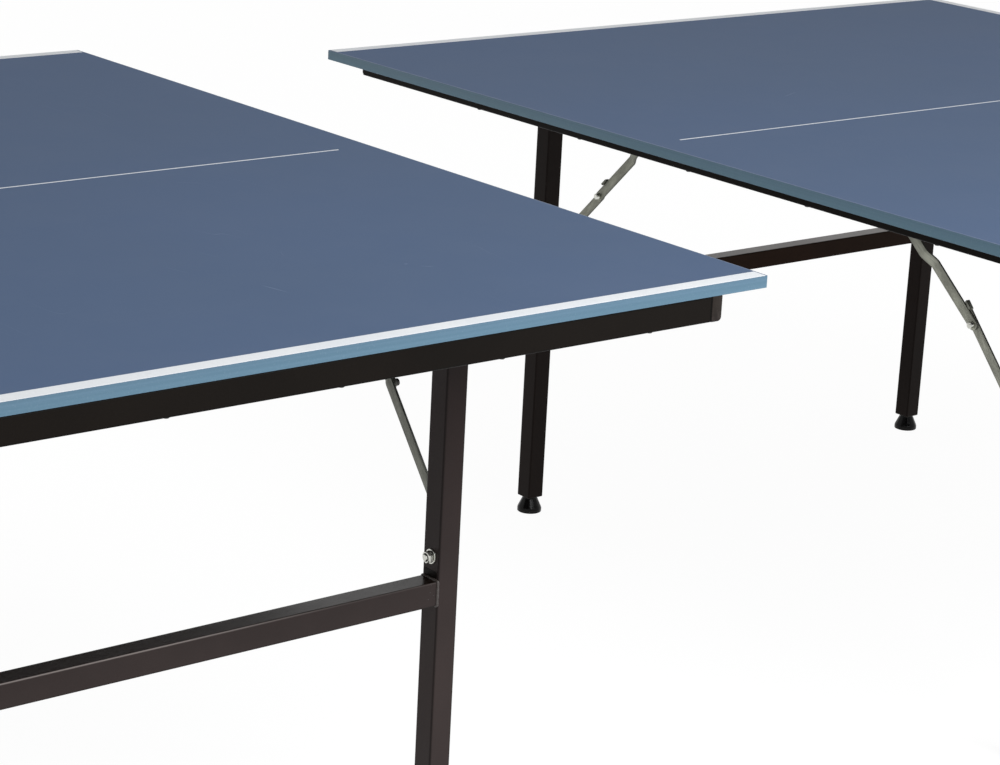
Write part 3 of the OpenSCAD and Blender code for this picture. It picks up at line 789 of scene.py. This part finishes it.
# %% Boards, bands and lines
band_section = np.concatenate([arc(0.5, UNDER_BOARD + 0.5, 0.5, 270, 180, 4),
                               arc(ARRIS, SURFACE - ARRIS, ARRIS, 180, 90, 7),
                               [[BAND, SURFACE], [BAND, UNDER_BOARD]]])
band_arris_shade = np.r_[np.zeros(4), np.sin(np.pi * np.linspace(0.1, 0.9, 7)), 0, 0]
lean = math.degrees(math.acos(-ARRIS / (ARRIS + FILM)))
line_section = np.concatenate([arc(ARRIS, SURFACE - ARRIS, ARRIS + FILM, lean, 90, 6), [[LINE - FILM, HEIGHT]],
                               [[LINE, SURFACE + 0.02], [LINE, UNDER_FILM], [ARRIS + 0.1, UNDER_FILM]]])
centre_line = corners(LENGTH - LINE, (WIDTH + THIN_LINE) / 2, 55, (WIDTH - THIN_LINE) / 2)
for half, place in HALF.items():
    body = f"{half}_half"
    board = Piece(f"{half}_playing_board", body, [BLUE_LACQUER, CHIPBOARD], "top_board", [f"{half}_board"])
    inner = corners(LENGTH - BAND, WIDTH - BAND, BAND, BAND)
    board.add(stack(inner, [(UNDER_BOARD, 0), (SURFACE, 0)]), place, paint=(1, 1, 0)).make()
    band = Piece(f"{half}_glued_band", body, [BAND_PLASTIC[half]], "edge_band", [f"{half}_edge_band"])
    band.add(carried(band_section, corners(0, 0, LENGTH, WIDTH), True), place, band_arris_shade, ring=True).make()
    lines = Piece(f"{half}_white_lines", body, [WHITE_LINES], "top_board")
    lines.add(carried(line_section, corners(3, 0, LENGTH, WIDTH), False), place)
    lines.add(stack(centre_line, [(UNDER_FILM, 0), (HEIGHT, 0)]), place).make()

# %% [markdown]
# ## Rails under the board
#
# Four lengths of 15 by 30 mm tube stiffen each board. A cut tube has a crisp end and soft long arrises, so the
# outline gets rounded corners and only a hair of chamfer at the ends. The caps are moulded with one large round
# corner, and sit a touch smaller than the tube, which leaves the fine dark joint that gives a cap away.

# %% Tubes and caps
RAIL, RAIL_WEAR = rounded(15, 30, 2.0)
CROSS_X, SIDE_Y = (75.5, 1362.5), (7.5, 1517.5)  # the middle lines of the rails
BETWEEN = CROSS_X[0] + 7.55, CROSS_X[1] - 7.55  # what the cross rails leave for the side rails
CAP = 2.0  # the thickness of a cap


def tube(outline, start, stop, rim=0.25, near=2.4, far=2.8):
    """A closed length of tube along z: the outline, drawn in by rim at both cut ends. The rows near and far from an
    end are where the darker ends give way to the rest of the tube."""
    return stack(outline, [(start, rim), (start + rim, 0), (start + near, 0), (start + far, 0), (stop - far, 0),
                           (stop - near, 0), (stop - rim, 0), (stop, rim)])


def dark_ends(wear):
    """The wear of a tube that is darker on the last 2.5 mm, as painted shade in the joint with the cross tubes: 1
    there, and the outline's own wear between.
    """
    return np.maximum(np.array([1, 1, 1, 0, 0, 1, 1, 1.0])[:, None], wear)


def rail_cap(outer):
    """The plate of one cap, with a round of 5 mm at its lower outer corner."""
    radii = [0.8, 0.8, 0.8, 5.0] if outer > 0 else [0.8, 0.8, 5.0, 0.8]
    outline, worn = rounded(14.8, 29.8, radii, rest=0.8)
    return stack(outline, [(0.15, 0.2), (0.3, 0), (1.5, 0), (1.85, 0.12), (CAP, 0.5)]), worn


cap_plug = stack(rounded(12.4, 27.4, 1.0)[0], [(-18, 1.0), (-14, 0.2), (0.3, 0.2)])
cap_ends = shift(0, CAP) @ flip(1) @ ON_Y, shift(0, WIDTH - CAP) @ ON_Y
print("a side rail runs from", BETWEEN[0], "to", BETWEEN[1])

# %% Rails of both halves
for half, place in HALF.items():
    body = f"{half}_half"
    sides = Piece(f"{half}_side_tubes", body, [RAIL_PAINT], "rail_paint", [f"{half}_side_rails"])
    for y in SIDE_Y:
        sides.add(tube(RAIL, *BETWEEN), place @ shift(0, y, RAIL_MID) @ ON_X, dark_ends(RAIL_WEAR))
    sides.make()
    cross = Piece(f"{half}_cross_tubes", body, [RAIL_PAINT], "rail_paint", [f"{half}_cross_rails"])
    caps = Piece(f"{half}_tube_caps", body, [CAP_PLASTIC], "black_plastic", [f"{half}_rail_caps"])
    for x, outer in zip(CROSS_X, (-1, 1)):
        stood = place @ shift(x, 0, RAIL_MID)
        cross.add(tube(RAIL, CAP, WIDTH - CAP), stood @ ON_Y, RAIL_WEAR)
        plate, worn = rail_cap(outer)
        for end in cap_ends:
            caps.add(plate, stood @ end, worn)
            caps.add(cap_plug, stood @ end)
    cross.make()
    caps.make()

# %% [markdown]
# ## Leg frames
#
# Each frame is two square tubes with a third welded between them. The bead of a weld is a row of ripples where the
# wire melted in small steps, so its radius rises and falls along the joint, and powder coat then covers it all. A
# few specks of spatter stay near the corners. A thin dark patch on each leg just above the crossbar is painted
# shade and a painted reflection of the crossbar.

# %% Square tubes, welds and spatter
TUBE_ROUND = 2.0  # the radius of a square tube's long arrises
LEG, LEG_WEAR = rounded(TUBE, TUBE, TUBE_ROUND)
LEG_LOW, LEG_HIGH = 28.0, 728.0
rng = np.random.default_rng(7)


def weld_bead(r=1.7, ripple=2.3):
    """A ring round a square tube. Station s on the outline has a round section with the radius
    r (1 + 0.22 |sin(pi s / ripple)|), a little uneven, centred on the corner between the two tubes."""
    flat_end = TUBE / 2 - TUBE_ROUND
    quarters = [arc(sx * flat_end, sy * flat_end, TUBE_ROUND, 90 * k, 90 * k + 90, 7)
                for k, (sx, sy) in enumerate([(1, 1), (-1, 1), (-1, -1), (1, -1)])]
    loop = np.concatenate([*quarters, quarters[0][:1]])
    length = np.r_[0, np.cumsum(np.linalg.norm(np.diff(loop, axis=0), axis=1))]
    s = np.linspace(0, length[-1], 220, endpoint=False)
    at = np.stack([np.interp(s, length, loop[:, i]) for i in (0, 1)], 1)
    way = np.roll(at, -1, 0) - np.roll(at, 1, 0)
    out = np.stack([way[:, 1], -way[:, 0]], 1) / np.linalg.norm(way, axis=1)[:, None]
    uneven = np.convolve(np.tile(rng.normal(0, 0.35, len(s)), 3), np.ones(9) / 9, "same")[len(s): 2 * len(s)]
    radius = r * (1 + 0.22 * np.abs(np.sin(np.pi * s / ripple)) + uneven)
    t = np.linspace(0, 2 * np.pi, 10, endpoint=False)
    flat = at[:, None] + out[:, None] * (radius[:, None] * np.cos(t))[..., None]
    return np.concatenate([flat, (radius[:, None] * np.sin(t))[..., None]], -1)


def speck(r):
    """A drop of spatter: a dome with the radius r and 0.7 r high."""
    t = np.radians([0, 35, 65, 88])
    return round_shape(r * np.cos(t), r * 0.7 * np.sin(t), 8)


# a thin dark patch for the leg's inner face above the crossbar: painted shade and a painted reflection of the
# crossbar
painted_shade_patch = stack(rounded(24, 9, 3.0)[0], [(-0.3, 0.0), (0.03, 0.0), (0.06, 0.4)])
print("a speck:", speck(0.5).shape, "and a scorch mark:", painted_shade_patch.shape)

# %% The four frames
for name, place in FRAME.items():
    body = f"{name}_frame"
    on_left, front = name.startswith("left"), name.endswith("front")
    # the left frames take the paint with painted floor light, the right ones the darker clean copies, as painted
    # shade
    paint = FRAME_PAINT if on_left else CLEAN_SHADED_PAINT
    legs = Piece(f"{name}_leg_tubes", body, [paint], "frame_paint", [f"{name}_legs"])
    bar = Piece(f"{name}_cross_tube", body, [BAR_PAINT if on_left else CLEAN_LIT_BAR], "frame_paint", [f"{name}_crossbar"])
    welds = Piece(f"{name}_weld_beads_and_shade_patches", body, [WELD_HIGHLIGHT_PAINT if on_left else CLEAN_SHADED_PAINT, RAIL_PAINT], "frame_paint")
    arris_shade_and_highlight = -0.9 if on_left else 0.5  # the upper arris on the outside of a left bar gets a painted highlight, and on a right bar half the painted shade
    bar_wear_and_light = LEG_WEAR * np.repeat([1, arris_shade_and_highlight, 1, 1] if front else [arris_shade_and_highlight, 1, 1, 1], 8)
    grid = tube(LEG, TUBE / 2 + 0.02, SPAN - TUBE / 2 - 0.02)
    bar.add(grid, place @ shift(0, 0, BAR_Z) @ ON_X, bar_wear_and_light, np.stack([grid[..., 2], 0 * grid[..., 2]], -1)).make()
    for x, side in ((0.0, 1.0), (SPAN, -1.0)):
        legs.add(tube(LEG, LEG_LOW, LEG_HIGH), place @ shift(x), LEG_WEAR)
        joint = place @ shift(x + side * (TUBE / 2 + 0.4), 0, BAR_Z) @ ON_X
        welds.add(weld_bead(), joint, 0.3, ring=True)
        above = place @ shift(x + side * TUBE / 2, 0, BAR_Z + 21.5) @ ON_X
        # the dark patch above the crossbar, in the rail's paint: painted shade
        welds.add(painted_shade_patch, above if side > 0 else above @ flip(2), paint=(1, 1, 1))
        for _ in range(7):
            far, up = rng.uniform(2, 16), rng.uniform(-13, 14)
            spot = place @ shift(x + side * (TUBE / 2 + far), 0.05 - TUBE / 2, BAR_Z + up)
            welds.add(speck(rng.uniform(0.35, 0.8)), spot @ flip(1) @ ON_Y, 0.8)
    legs.make()
    welds.make()

# %% [markdown]
# ## Plugs and feet
#
# Both ends of a leg are closed by a plastic collar, and a moulded foot screws into the lower one. The foot is a
# bell: a wide rim and a cone with shallow flutes for the fingers. A radius that depends on both height and angle
# gives all of it in one grid.

# %% Collars, plugs and feet
COLLAR, COLLAR_WEAR = rounded(TUBE - 0.2, TUBE - 0.2, TUBE_ROUND)
PLUG = rounded(27.4, 27.4, 1.0)[0]


def collar(low):
    """A plate 2 mm thick that covers the tube's end, rounded towards the outside."""
    levels = [(0, 1.6), (0.35, 0.75), (0.9, 0.2), (1.4, 0), (1.9, 0), (2, 0.25)]
    return stack(COLLAR, [(low + z, by) for z, by in levels])


def bell_foot():
    """Radius by height: rim 20 mm, a cone to 12 mm at 24 mm, then the neck, less 0.3 mm of twelve flutes that
    fade in above the rim."""
    rim = arc(18.8, 1.2, 1.2, 270, 360, 5)
    t = np.linspace(0, 1, 12)
    curve = np.stack([19.9 - 7.9 * t, 7.0 + 17 * t], 1)
    neck = np.array([[12.0, 24.4], [12.0, 25.2], [11.6, 25.65]])
    step = np.array([[20.0, 5.9], [19.7, 6.3], [19.7, 6.8]])
    shape = np.concatenate([[[16.0, 0.4], [17.5, 0.0]], rim, step, curve[1:], neck])
    angle = np.linspace(0, 2 * np.pi, 72, endpoint=False)
    depth = np.clip((shape[:, 1] - 8) / 4, 0, 1) * np.clip((26 - shape[:, 1]) / 2, 0, 1) * 0.3
    radii = shape[:, :1] - depth[:, None] * (0.5 + 0.5 * np.cos(12 * angle))[None] ** 2
    worn = np.zeros(len(shape))
    worn[2:9] = 0.8
    return round_shape(radii, shape[:, 1], 72), worn[:, None]


bell, bell_wear = bell_foot()
print("a foot:", bell.shape)

# %% Plugs and feet of the four frames
for name, place in FRAME.items():
    plugs = Piece(f"{name}_plastic_ends", f"{name}_frame", [CAP_PLASTIC], "black_plastic", [f"{name}_leg_plugs"])
    for x in (0.0, SPAN):
        leg = place @ shift(x)
        plugs.add(collar(LEG_LOW - 2), leg, COLLAR_WEAR)
        plugs.add(collar(-LEG_HIGH - 2), leg @ flip(2), COLLAR_WEAR)
        plugs.add(stack(PLUG, [(LEG_LOW - 0.1, 0.3), (52, 0.3), (56, 1.2)]), leg)
        plugs.add(stack(PLUG, [(702, 1.2), (706, 0.3), (LEG_HIGH + 0.1, 0.3)]), leg)
    plugs.make()
    for end, x in (("net", 0.0), ("end", SPAN)):
        foot = Piece(f"{name}_{end}_bell_foot", f"{name}_{end}_foot", [FOOT_PLASTIC, ZINC], "foot_plastic",
                     [f"{name}_{end}_foot"])
        foot.add(bell, place @ shift(x), bell_wear)
        foot.add(thread(25.0, 51.5), place @ shift(x), paint=(1, 1, 1)).make()

# %% [markdown]
# ## Brackets and bolts
#
# The brackets are pressed from 2.5 mm sheet: a base plate screwed to the board and cheeks that hang down round the
# pivots, with the metal bent in a small radius and not creased. The hinge bolts and all nuts are hexagons with the
# usual 30 degree chamfer, and the stays hang on bolts with low round heads. Where a bolt leaves its nut, two turns
# of thread show.

# %% Cheeks bent from a base plate
def hung_cheek(out=34.0, base=20.0):
    """A strip that starts with a round end of 14 mm below the pivot, rises, bends outwards with a 3 mm radius and
    runs out under the board. Its half width grows from 14 mm to base over the bend."""
    t, level = np.radians(np.linspace(4, 90, 9)), UNDER_BOARD - 1.3
    line = np.concatenate([np.c_[np.full(9, 1.25), HINGE_Z - 14 * np.cos(t)], arc(4.25, level - 3, 3.0, 180, 90, 6),
                           [[x, level] for x in (8, out - 2, out - 0.6, out)]])
    wide = np.r_[14 * np.sin(t), np.linspace(14, base, 6), base, base, base - 0.5, base - 1.6]
    grid, flow = strip(line, -wide, wide, 2.4)
    return grid[..., [0, 2, 1]], flow


PLATE_Z = UNDER_BOARD - 2.5
print("a bracket's base plate lies at", PLATE_Z)

# %% Brackets and bolts of both halves
base_outline, base_wear = rounded(64, 60, 4.0)
base_plate = stack(base_outline, [(PLATE_Z, 0.5), (PLATE_Z + 0.5, 0), (PLATE_Z + 2.1, 0), (PLATE_Z + 2.45, 0.3)])
leg_cheek, leg_flow = hung_cheek(14.0, 16.0)
stay_cheek, stay_flow = hung_cheek()
stay_head = round_shape([4.5, 6.4, 7.0, 6.9, 6.0, 4.0], [12.4, 12.4, 12.0, 11.4, 11.0, 10.9])
for half, place in HALF.items():
    body = f"{half}_half"
    seats = Piece(f"{half}_leg_seats", body, [FRAME_PAINT], "frame_paint", [f"{half}_leg_brackets"])
    holders = Piece(f"{half}_stay_seats", body, [FRAME_PAINT], "frame_paint", [f"{half}_stay_brackets"])
    pivots = Piece(f"{half}_pivot_set", body, [ZINC], "zinc", [f"{half}_pivot_bolts"])
    for name in (f"{half}_front", f"{half}_rear"):
        for x in (0.0, SPAN):
            base = FRAME[name] @ shift(x)
            seats.add(base_plate, base, base_wear)
            for hand in (np.eye(4), flip(0)):
                seats.add(leg_cheek, base @ hand @ shift(15.5), 0.0, leg_flow)
        for face in leg_faces(name):
            holders.add(stay_cheek, face @ shift(16.2, FOLD_R), 0.0, stay_flow)
            hinge = face @ shift(0, 0, HINGE_Z) @ ON_X
            pivots.add(hexagon(5.3), hinge @ shift(0, 0, 3.0), 0.4)
            pivots.add(washer(-39.5, 6.5, 6.0), hinge)
            pivots.add(NUT, hinge @ shift(0, 0, -39.5), 0.4)
            pivots.add(thread(-42.5, -39.3), hinge)
            pivots.add(shaft(-33.2, 3.2), hinge)
            upper = face @ shift(0, FOLD_R, HINGE_Z) @ ON_X
            pivots.add(stay_head, upper, 0.4)
            pivots.add(shaft(12.3, 18.9), upper)
            pivots.add(NUT, upper @ shift(0, 0, 18.7), 0.4)
            pivots.add(thread(25.0, 28.2), upper)
    seats.make()
    holders.make()
    pivots.make()

# %% [markdown]
# ## Wood screws
#
# The screw heads are small, but 46 of them hold each half together. A cross recess is a ring of points moved
# onto the outline of a plus sign and then pushed down, so it needs no cutting.

# %% Pan heads with a cross recess
def pan_head():
    """Rings of 24 points: the seat, the domed rim, a plus-shaped outline on top, and the same outline 1 mm deep."""
    t = np.linspace(0, 2 * np.pi, 24, endpoint=False)
    arm, half_arm = 2.1, 0.55
    c, s = np.abs(np.cos(t)), np.abs(np.sin(t))
    plus = np.minimum(arm / np.maximum(c, s), half_arm / np.maximum(np.minimum(c, s), 1e-6))
    plus = np.maximum(plus, half_arm * 1.3)
    radii = np.array([3.9 + 0 * t, 4.0 + 0 * t, 3.8 + 0 * t, 3.0 + 0 * t, plus, plus * 0.7])
    heights = np.array([0.0, 0.5, 1.3, 2.0, 2.2, 1.2])[:, None] + 0 * t
    return round_shape(radii, heights, 24)


along_rails, across_rails = 170 + 210.0 * np.arange(6), WIDTH / 2 + 235.0 * np.arange(-2, 3)
under_rails = [(x, y) for x in along_rails for y in SIDE_Y] + [(x, y) for x in CROSS_X for y in across_rails]
for half, place in HALF.items():
    heads = Piece(f"{half}_screw_heads", f"{half}_half", [DARK_STEEL_AND_SHADE], "dark_steel", [f"{half}_screws"])
    spots = [place @ shift(x, y, UNDER_RAIL) for x, y in under_rails]
    for name in (f"{half}_front", f"{half}_rear"):
        spots += [FRAME[name] @ shift(x + i * 24, j * 22, PLATE_Z)
                  for x in (0, SPAN) for i in (-1, 1) for j in (-1, 1)]
        spots += [f @ shift(38.2, FOLD_R + j * 12, PLATE_Z) for f in leg_faces(name) for j in (-1, 1)]
    for spot in spots:
        heads.add(pan_head(), spot @ flip(2), 0.3)
    heads.make()

# %% [markdown]
# ## Folding stays
#
# Each leg is braced by two strips of galvanised steel that meet at an elbow. The lower one turns on a bolt through
# the leg and ends in a bent lug, which stops the elbow just short of straight. The upper one steps sideways halfway
# up, so that it clears the bolt's head when the frame folds. Both are flat bars, so the strip function bends them
# and rounds their ends.

# %% Strips, lugs and elbow pins
HALF_STRIP, THICK = 7.5, 3.0
LOWER = 14 / 15  # how much narrower the lower strips are
EDGES = np.array([0.0, 0.5, 1.0, 1.0, 1.0, 1.0, 0.5, 0.0] * 2)


def lower_strip(length):
    """Flat strip 14 mm wide from the bolt to the elbow. Its lower side follows a round end there up to 3 mm below
    the middle line, and runs on until the last 15 mm are rounded off at 32 mm past the elbow."""
    t = np.radians(np.linspace(6, 90, 9))
    past, turn = np.radians(np.linspace(0, 66, 8)), np.radians(np.linspace(45.6, 60, 4))
    beyond = np.r_[HALF_STRIP * np.sin(past), 14, 17 + 15 * np.sin(turn), 31.4, 32]
    s = np.r_[-HALF_STRIP * np.cos(t), length + beyond]
    low = np.r_[-HALF_STRIP * np.sin(t), -HALF_STRIP * np.cos(past), -3, HALF_STRIP - 15 * np.cos(turn), 0.2, 0.8]
    high = np.r_[HALF_STRIP * np.sin(t), np.full(14, HALF_STRIP), HALF_STRIP - 0.4]
    return strip(np.c_[np.full(len(s), THICK / 2), s], low * LOWER, high * LOWER, THICK)


def lug(length):
    """Tab 13 mm long: it leaves the strip's upper edge, and bends outwards with a 2 mm radius."""
    line = np.concatenate([[[1.5, 3.5], [1.5, 6.5]], arc(3.6, 7.3, 2.1, 180, 90, 6),
                           [[x, 9.4] for x in (6.0, 8.2, 8.8, 9.0)]])
    wide = np.r_[np.full(10, 6.5), 6.1, 5.4]
    grid, flow = strip(line, -wide, wide, THICK - 0.1)
    return grid[..., [0, 2, 1]] + np.array([0, length + 25.5, 0]), flow


def upper_strip(length):
    """Strip whose centre line steps out by 9 mm between 100 and 120 mm from the elbow, in two soft bends."""
    s, wide = round_ended(length, HALF_STRIP)
    s = np.r_[s[:9], np.linspace(96, 124, 15), s[9:]]
    wide = np.r_[wide[:9], np.full(15, HALF_STRIP), wide[9:]]
    x = np.clip((s - 100) / 20, 0, 1)
    return strip(np.c_[THICK / 2 + 9 * (x * x * (3 - 2 * x) * 0.35 + x * 0.65), s], -wide, wide, THICK - 0.1)


print("stations of an upper strip:", len(upper_strip(215.0)[0]))

# %% Stays, pins and bolts on the frames
rivet_foot = round_shape([4.1, 4.3, 4.3, 3.0], [0.3, 0.2, 0.0, -0.12], 32)
pin_head = round_shape([3.4, 4.3, 4.6, 4.6, 4.4, 3.6, 2.2], [6.4, 6.6, 7.0, 11.8, 12.8, 13.4, 13.7], 32)
bolt_head = round_shape([7.7, 8.0, 7.85, 7.3, 5.6, 3.0, 1.0], [3.8, 4.0, 4.5, 5.6, 6.9, 7.6, 7.78])
# thin dark rings as painted shade: one round the bolt's end in the nut's countersink, one between nut and washer
painted_shade_rings = [round_shape([r - 0.1, r, r], [z, z + 0.05, z + 0.3], 32) for r, z in ((5.2, -38.25), (7.3, -31.8))]
for name in FRAME:
    slope_low, slope_high = 45 + BEND[name] / 2, 45 - BEND[name] / 2
    length = FOLD_R / math.sqrt(2) / math.cos(math.radians(BEND[name] / 2))
    steel, on_left = STRIP_STEEL[name], name.startswith("left")
    arm, frame_body = f"{name}_upper_stay", f"{name}_frame"
    lower = Piece(f"{name}_lower_strips", f"{name}_lower_stay", [steel, DARK_STEEL_AND_SHADE], "stay_steel",
                  [f"{name}_lower_stays"])
    upper = Piece(f"{name}_upper_strips", arm, [steel], "stay_steel", [f"{name}_upper_stays"])
    # the elbow pins of the left frames are in dark steel as painted shade, those of the right frames in zinc
    pins = Piece(f"{name}_elbow_rivets", arm, [DARK_STEEL_AND_SHADE if on_left else ZINC], "zinc", [f"{name}_elbow_pins"])
    bolts = Piece(f"{name}_leg_bolts", frame_body, [ZINC], "zinc", [f"{name}_stay_bolts"])
    nuts = Piece(f"{name}_nuts_and_washers", frame_body, [ZINC, DARK_STEEL_AND_SHADE], "zinc", [f"{name}_stay_nuts"])
    for face in leg_faces(name):
        along = face @ shift(0.4, 0, BOLT_Z) @ turn_x(slope_low)
        grid, flow = lower_strip(length)
        lower.add(grid, along, EDGES, flow)
        lower.add(rivet_foot, along @ shift(0, length) @ ON_X, 0.4, paint=(0, 0, 0) if on_left else (1, 1, 1))
        grid, flow = lug(length)
        lower.add(grid, along, 0.6, flow)
        elbow = along @ shift(0, length) @ turn_x(slope_high - slope_low)
        grid, flow = upper_strip(length)
        upper.add(grid, elbow @ shift(3.4), EDGES, flow)
        pins.add(shaft(3.5, 6.7), elbow @ ON_X)
        pins.add(pin_head, elbow @ ON_X, 0.4)
        bolt = face @ shift(0, 0, BOLT_Z) @ ON_X
        bolts.add(bolt_head, bolt, 0.4)
        bolts.add(shaft(-30.5, 4.0), bolt)
        bolts.add(thread(-39.9, -36.0), bolt)
        nuts.add(washer(-31.6, 1.6, 9.0), bolt)
        nuts.add(NUT, bolt @ shift(0, 0, -38.1), 0.4)
        for ring in painted_shade_rings:
            nuts.add(ring, bolt, paint=(1, 1, 1))
    for piece in (lower, upper, pins, bolts, nuts):
        piece.make()

# %% [markdown]
# ## The stage
#
# A plain white floor and a white surround, lit by one large soft lamp near the camera and an even glow from all
# sides. The camera sees a clean white background, and so do reflections, because the world answers camera, glossy
# and transmission rays with plain white; the glow that lights the object is set apart from it. The floor shows a
# light shadow, since an eighth of what the camera sees of it is its own shading.

# %% World and floor
def seen(tree, *kinds):
    """1 for rays of the kinds named, and 0 for those that only light things."""
    rays, total = put(tree, "ShaderNodeLightPath").outputs, 0.0
    for kind in kinds:
        total = calc(tree, "MAXIMUM", rays[f"Is {kind} Ray"], total)
    return total


world = bpy.data.worlds.new("white_surround")
bpy.context.scene.world = world
tree = cleared(world)
glow = put(tree, "ShaderNodeBackground", {"Color": (0.98, 0.97, 0.95, 1), "Strength": 0.33}).outputs[0]
plain = put(tree, "ShaderNodeBackground", {"Color": (1, 1, 1, 1), "Strength": 1.0}).outputs[0]
both = put(tree, "ShaderNodeMixShader", {0: seen(tree, "Camera", "Glossy", "Transmission"), 1: glow, 2: plain})
put(tree, "ShaderNodeOutputWorld", {"Surface": both.outputs[0]})

floor_paint = bpy.data.materials.new("white_floor")
tree = cleared(floor_paint)
paint = put(tree, "ShaderNodeBsdfDiffuse", {"Color": (0.86, 0.86, 0.86, 1)}).outputs[0]
clean = put(tree, "ShaderNodeEmission", {"Color": (1, 1, 1, 1), "Strength": 1.085}).outputs[0]
share = times(tree, seen(tree, "Camera", "Glossy"), 0.88)
both = put(tree, "ShaderNodeMixShader", {0: share, 1: paint, 2: clean})
put(tree, "ShaderNodeOutputMaterial", {"Surface": both.outputs[0]})
ground = bpy.data.meshes.new("floor")
ground.from_pydata([(-30, -30, 0), (30, -30, 0), (30, 30, 0), (-30, 30, 0)], [], [(0, 1, 2, 3)])
ground.materials.append(floor_paint)
floor = bpy.data.objects.new("floor", ground)
bpy.context.scene.collection.objects.link(floor)
print("floor:", [tuple(v.co) for v in ground.vertices])


# %% The lamp
def lamp(name, place, target, size, power, colour):
    """A square soft box at place that faces target."""
    data = bpy.data.lights.new(name, "AREA")
    data.shape, data.size, data.energy, data.color = "SQUARE", size, power, colour
    made = bpy.data.objects.new(name, data)
    made.location = place
    made.rotation_euler = (Vector(target) - Vector(place)).to_track_quat("-Z", "Y").to_euler()
    bpy.context.scene.collection.objects.link(made)


lamp("soft_box", (0.15, -2.9, 2.8), (-0.1, -0.2, 0.6), 2.2, 102, (0.96, 0.985, 1.0))
bpy.context.scene.view_settings.view_transform = "Standard"

# %% [markdown]
# ## The camera
#
# The camera stands in front of the left half, a little above the top, and looks across the gap between the halves.
# Its three axes are worked out from a turn, a tilt and a small roll, and written into its matrix.

# %% Camera
turn, tilt, roll = (math.radians(a) for a in (39.533, 16.688, 2.981))
ahead = Vector((math.sin(turn) * math.cos(tilt), math.cos(turn) * math.cos(tilt), -math.sin(tilt)))
level = Vector((math.cos(turn), -math.sin(turn), 0))
upward = level.cross(ahead)
right = math.cos(roll) * level + math.sin(roll) * upward
top = math.cos(roll) * upward - math.sin(roll) * level
lens = bpy.data.cameras.new("camera")
lens.lens, lens.sensor_width, lens.clip_end = 103.0, 36.0, 100.0
camera = bpy.data.objects.new("camera", lens)
camera.matrix_world = Matrix((right, top, -ahead)).transposed().to_4x4()
camera.location = (-2.422565, -2.933934, 1.563705)
bpy.context.scene.collection.objects.link(camera)
bpy.context.scene.camera = camera
print("camera at", tuple(round(v, 3) for v in camera.location))
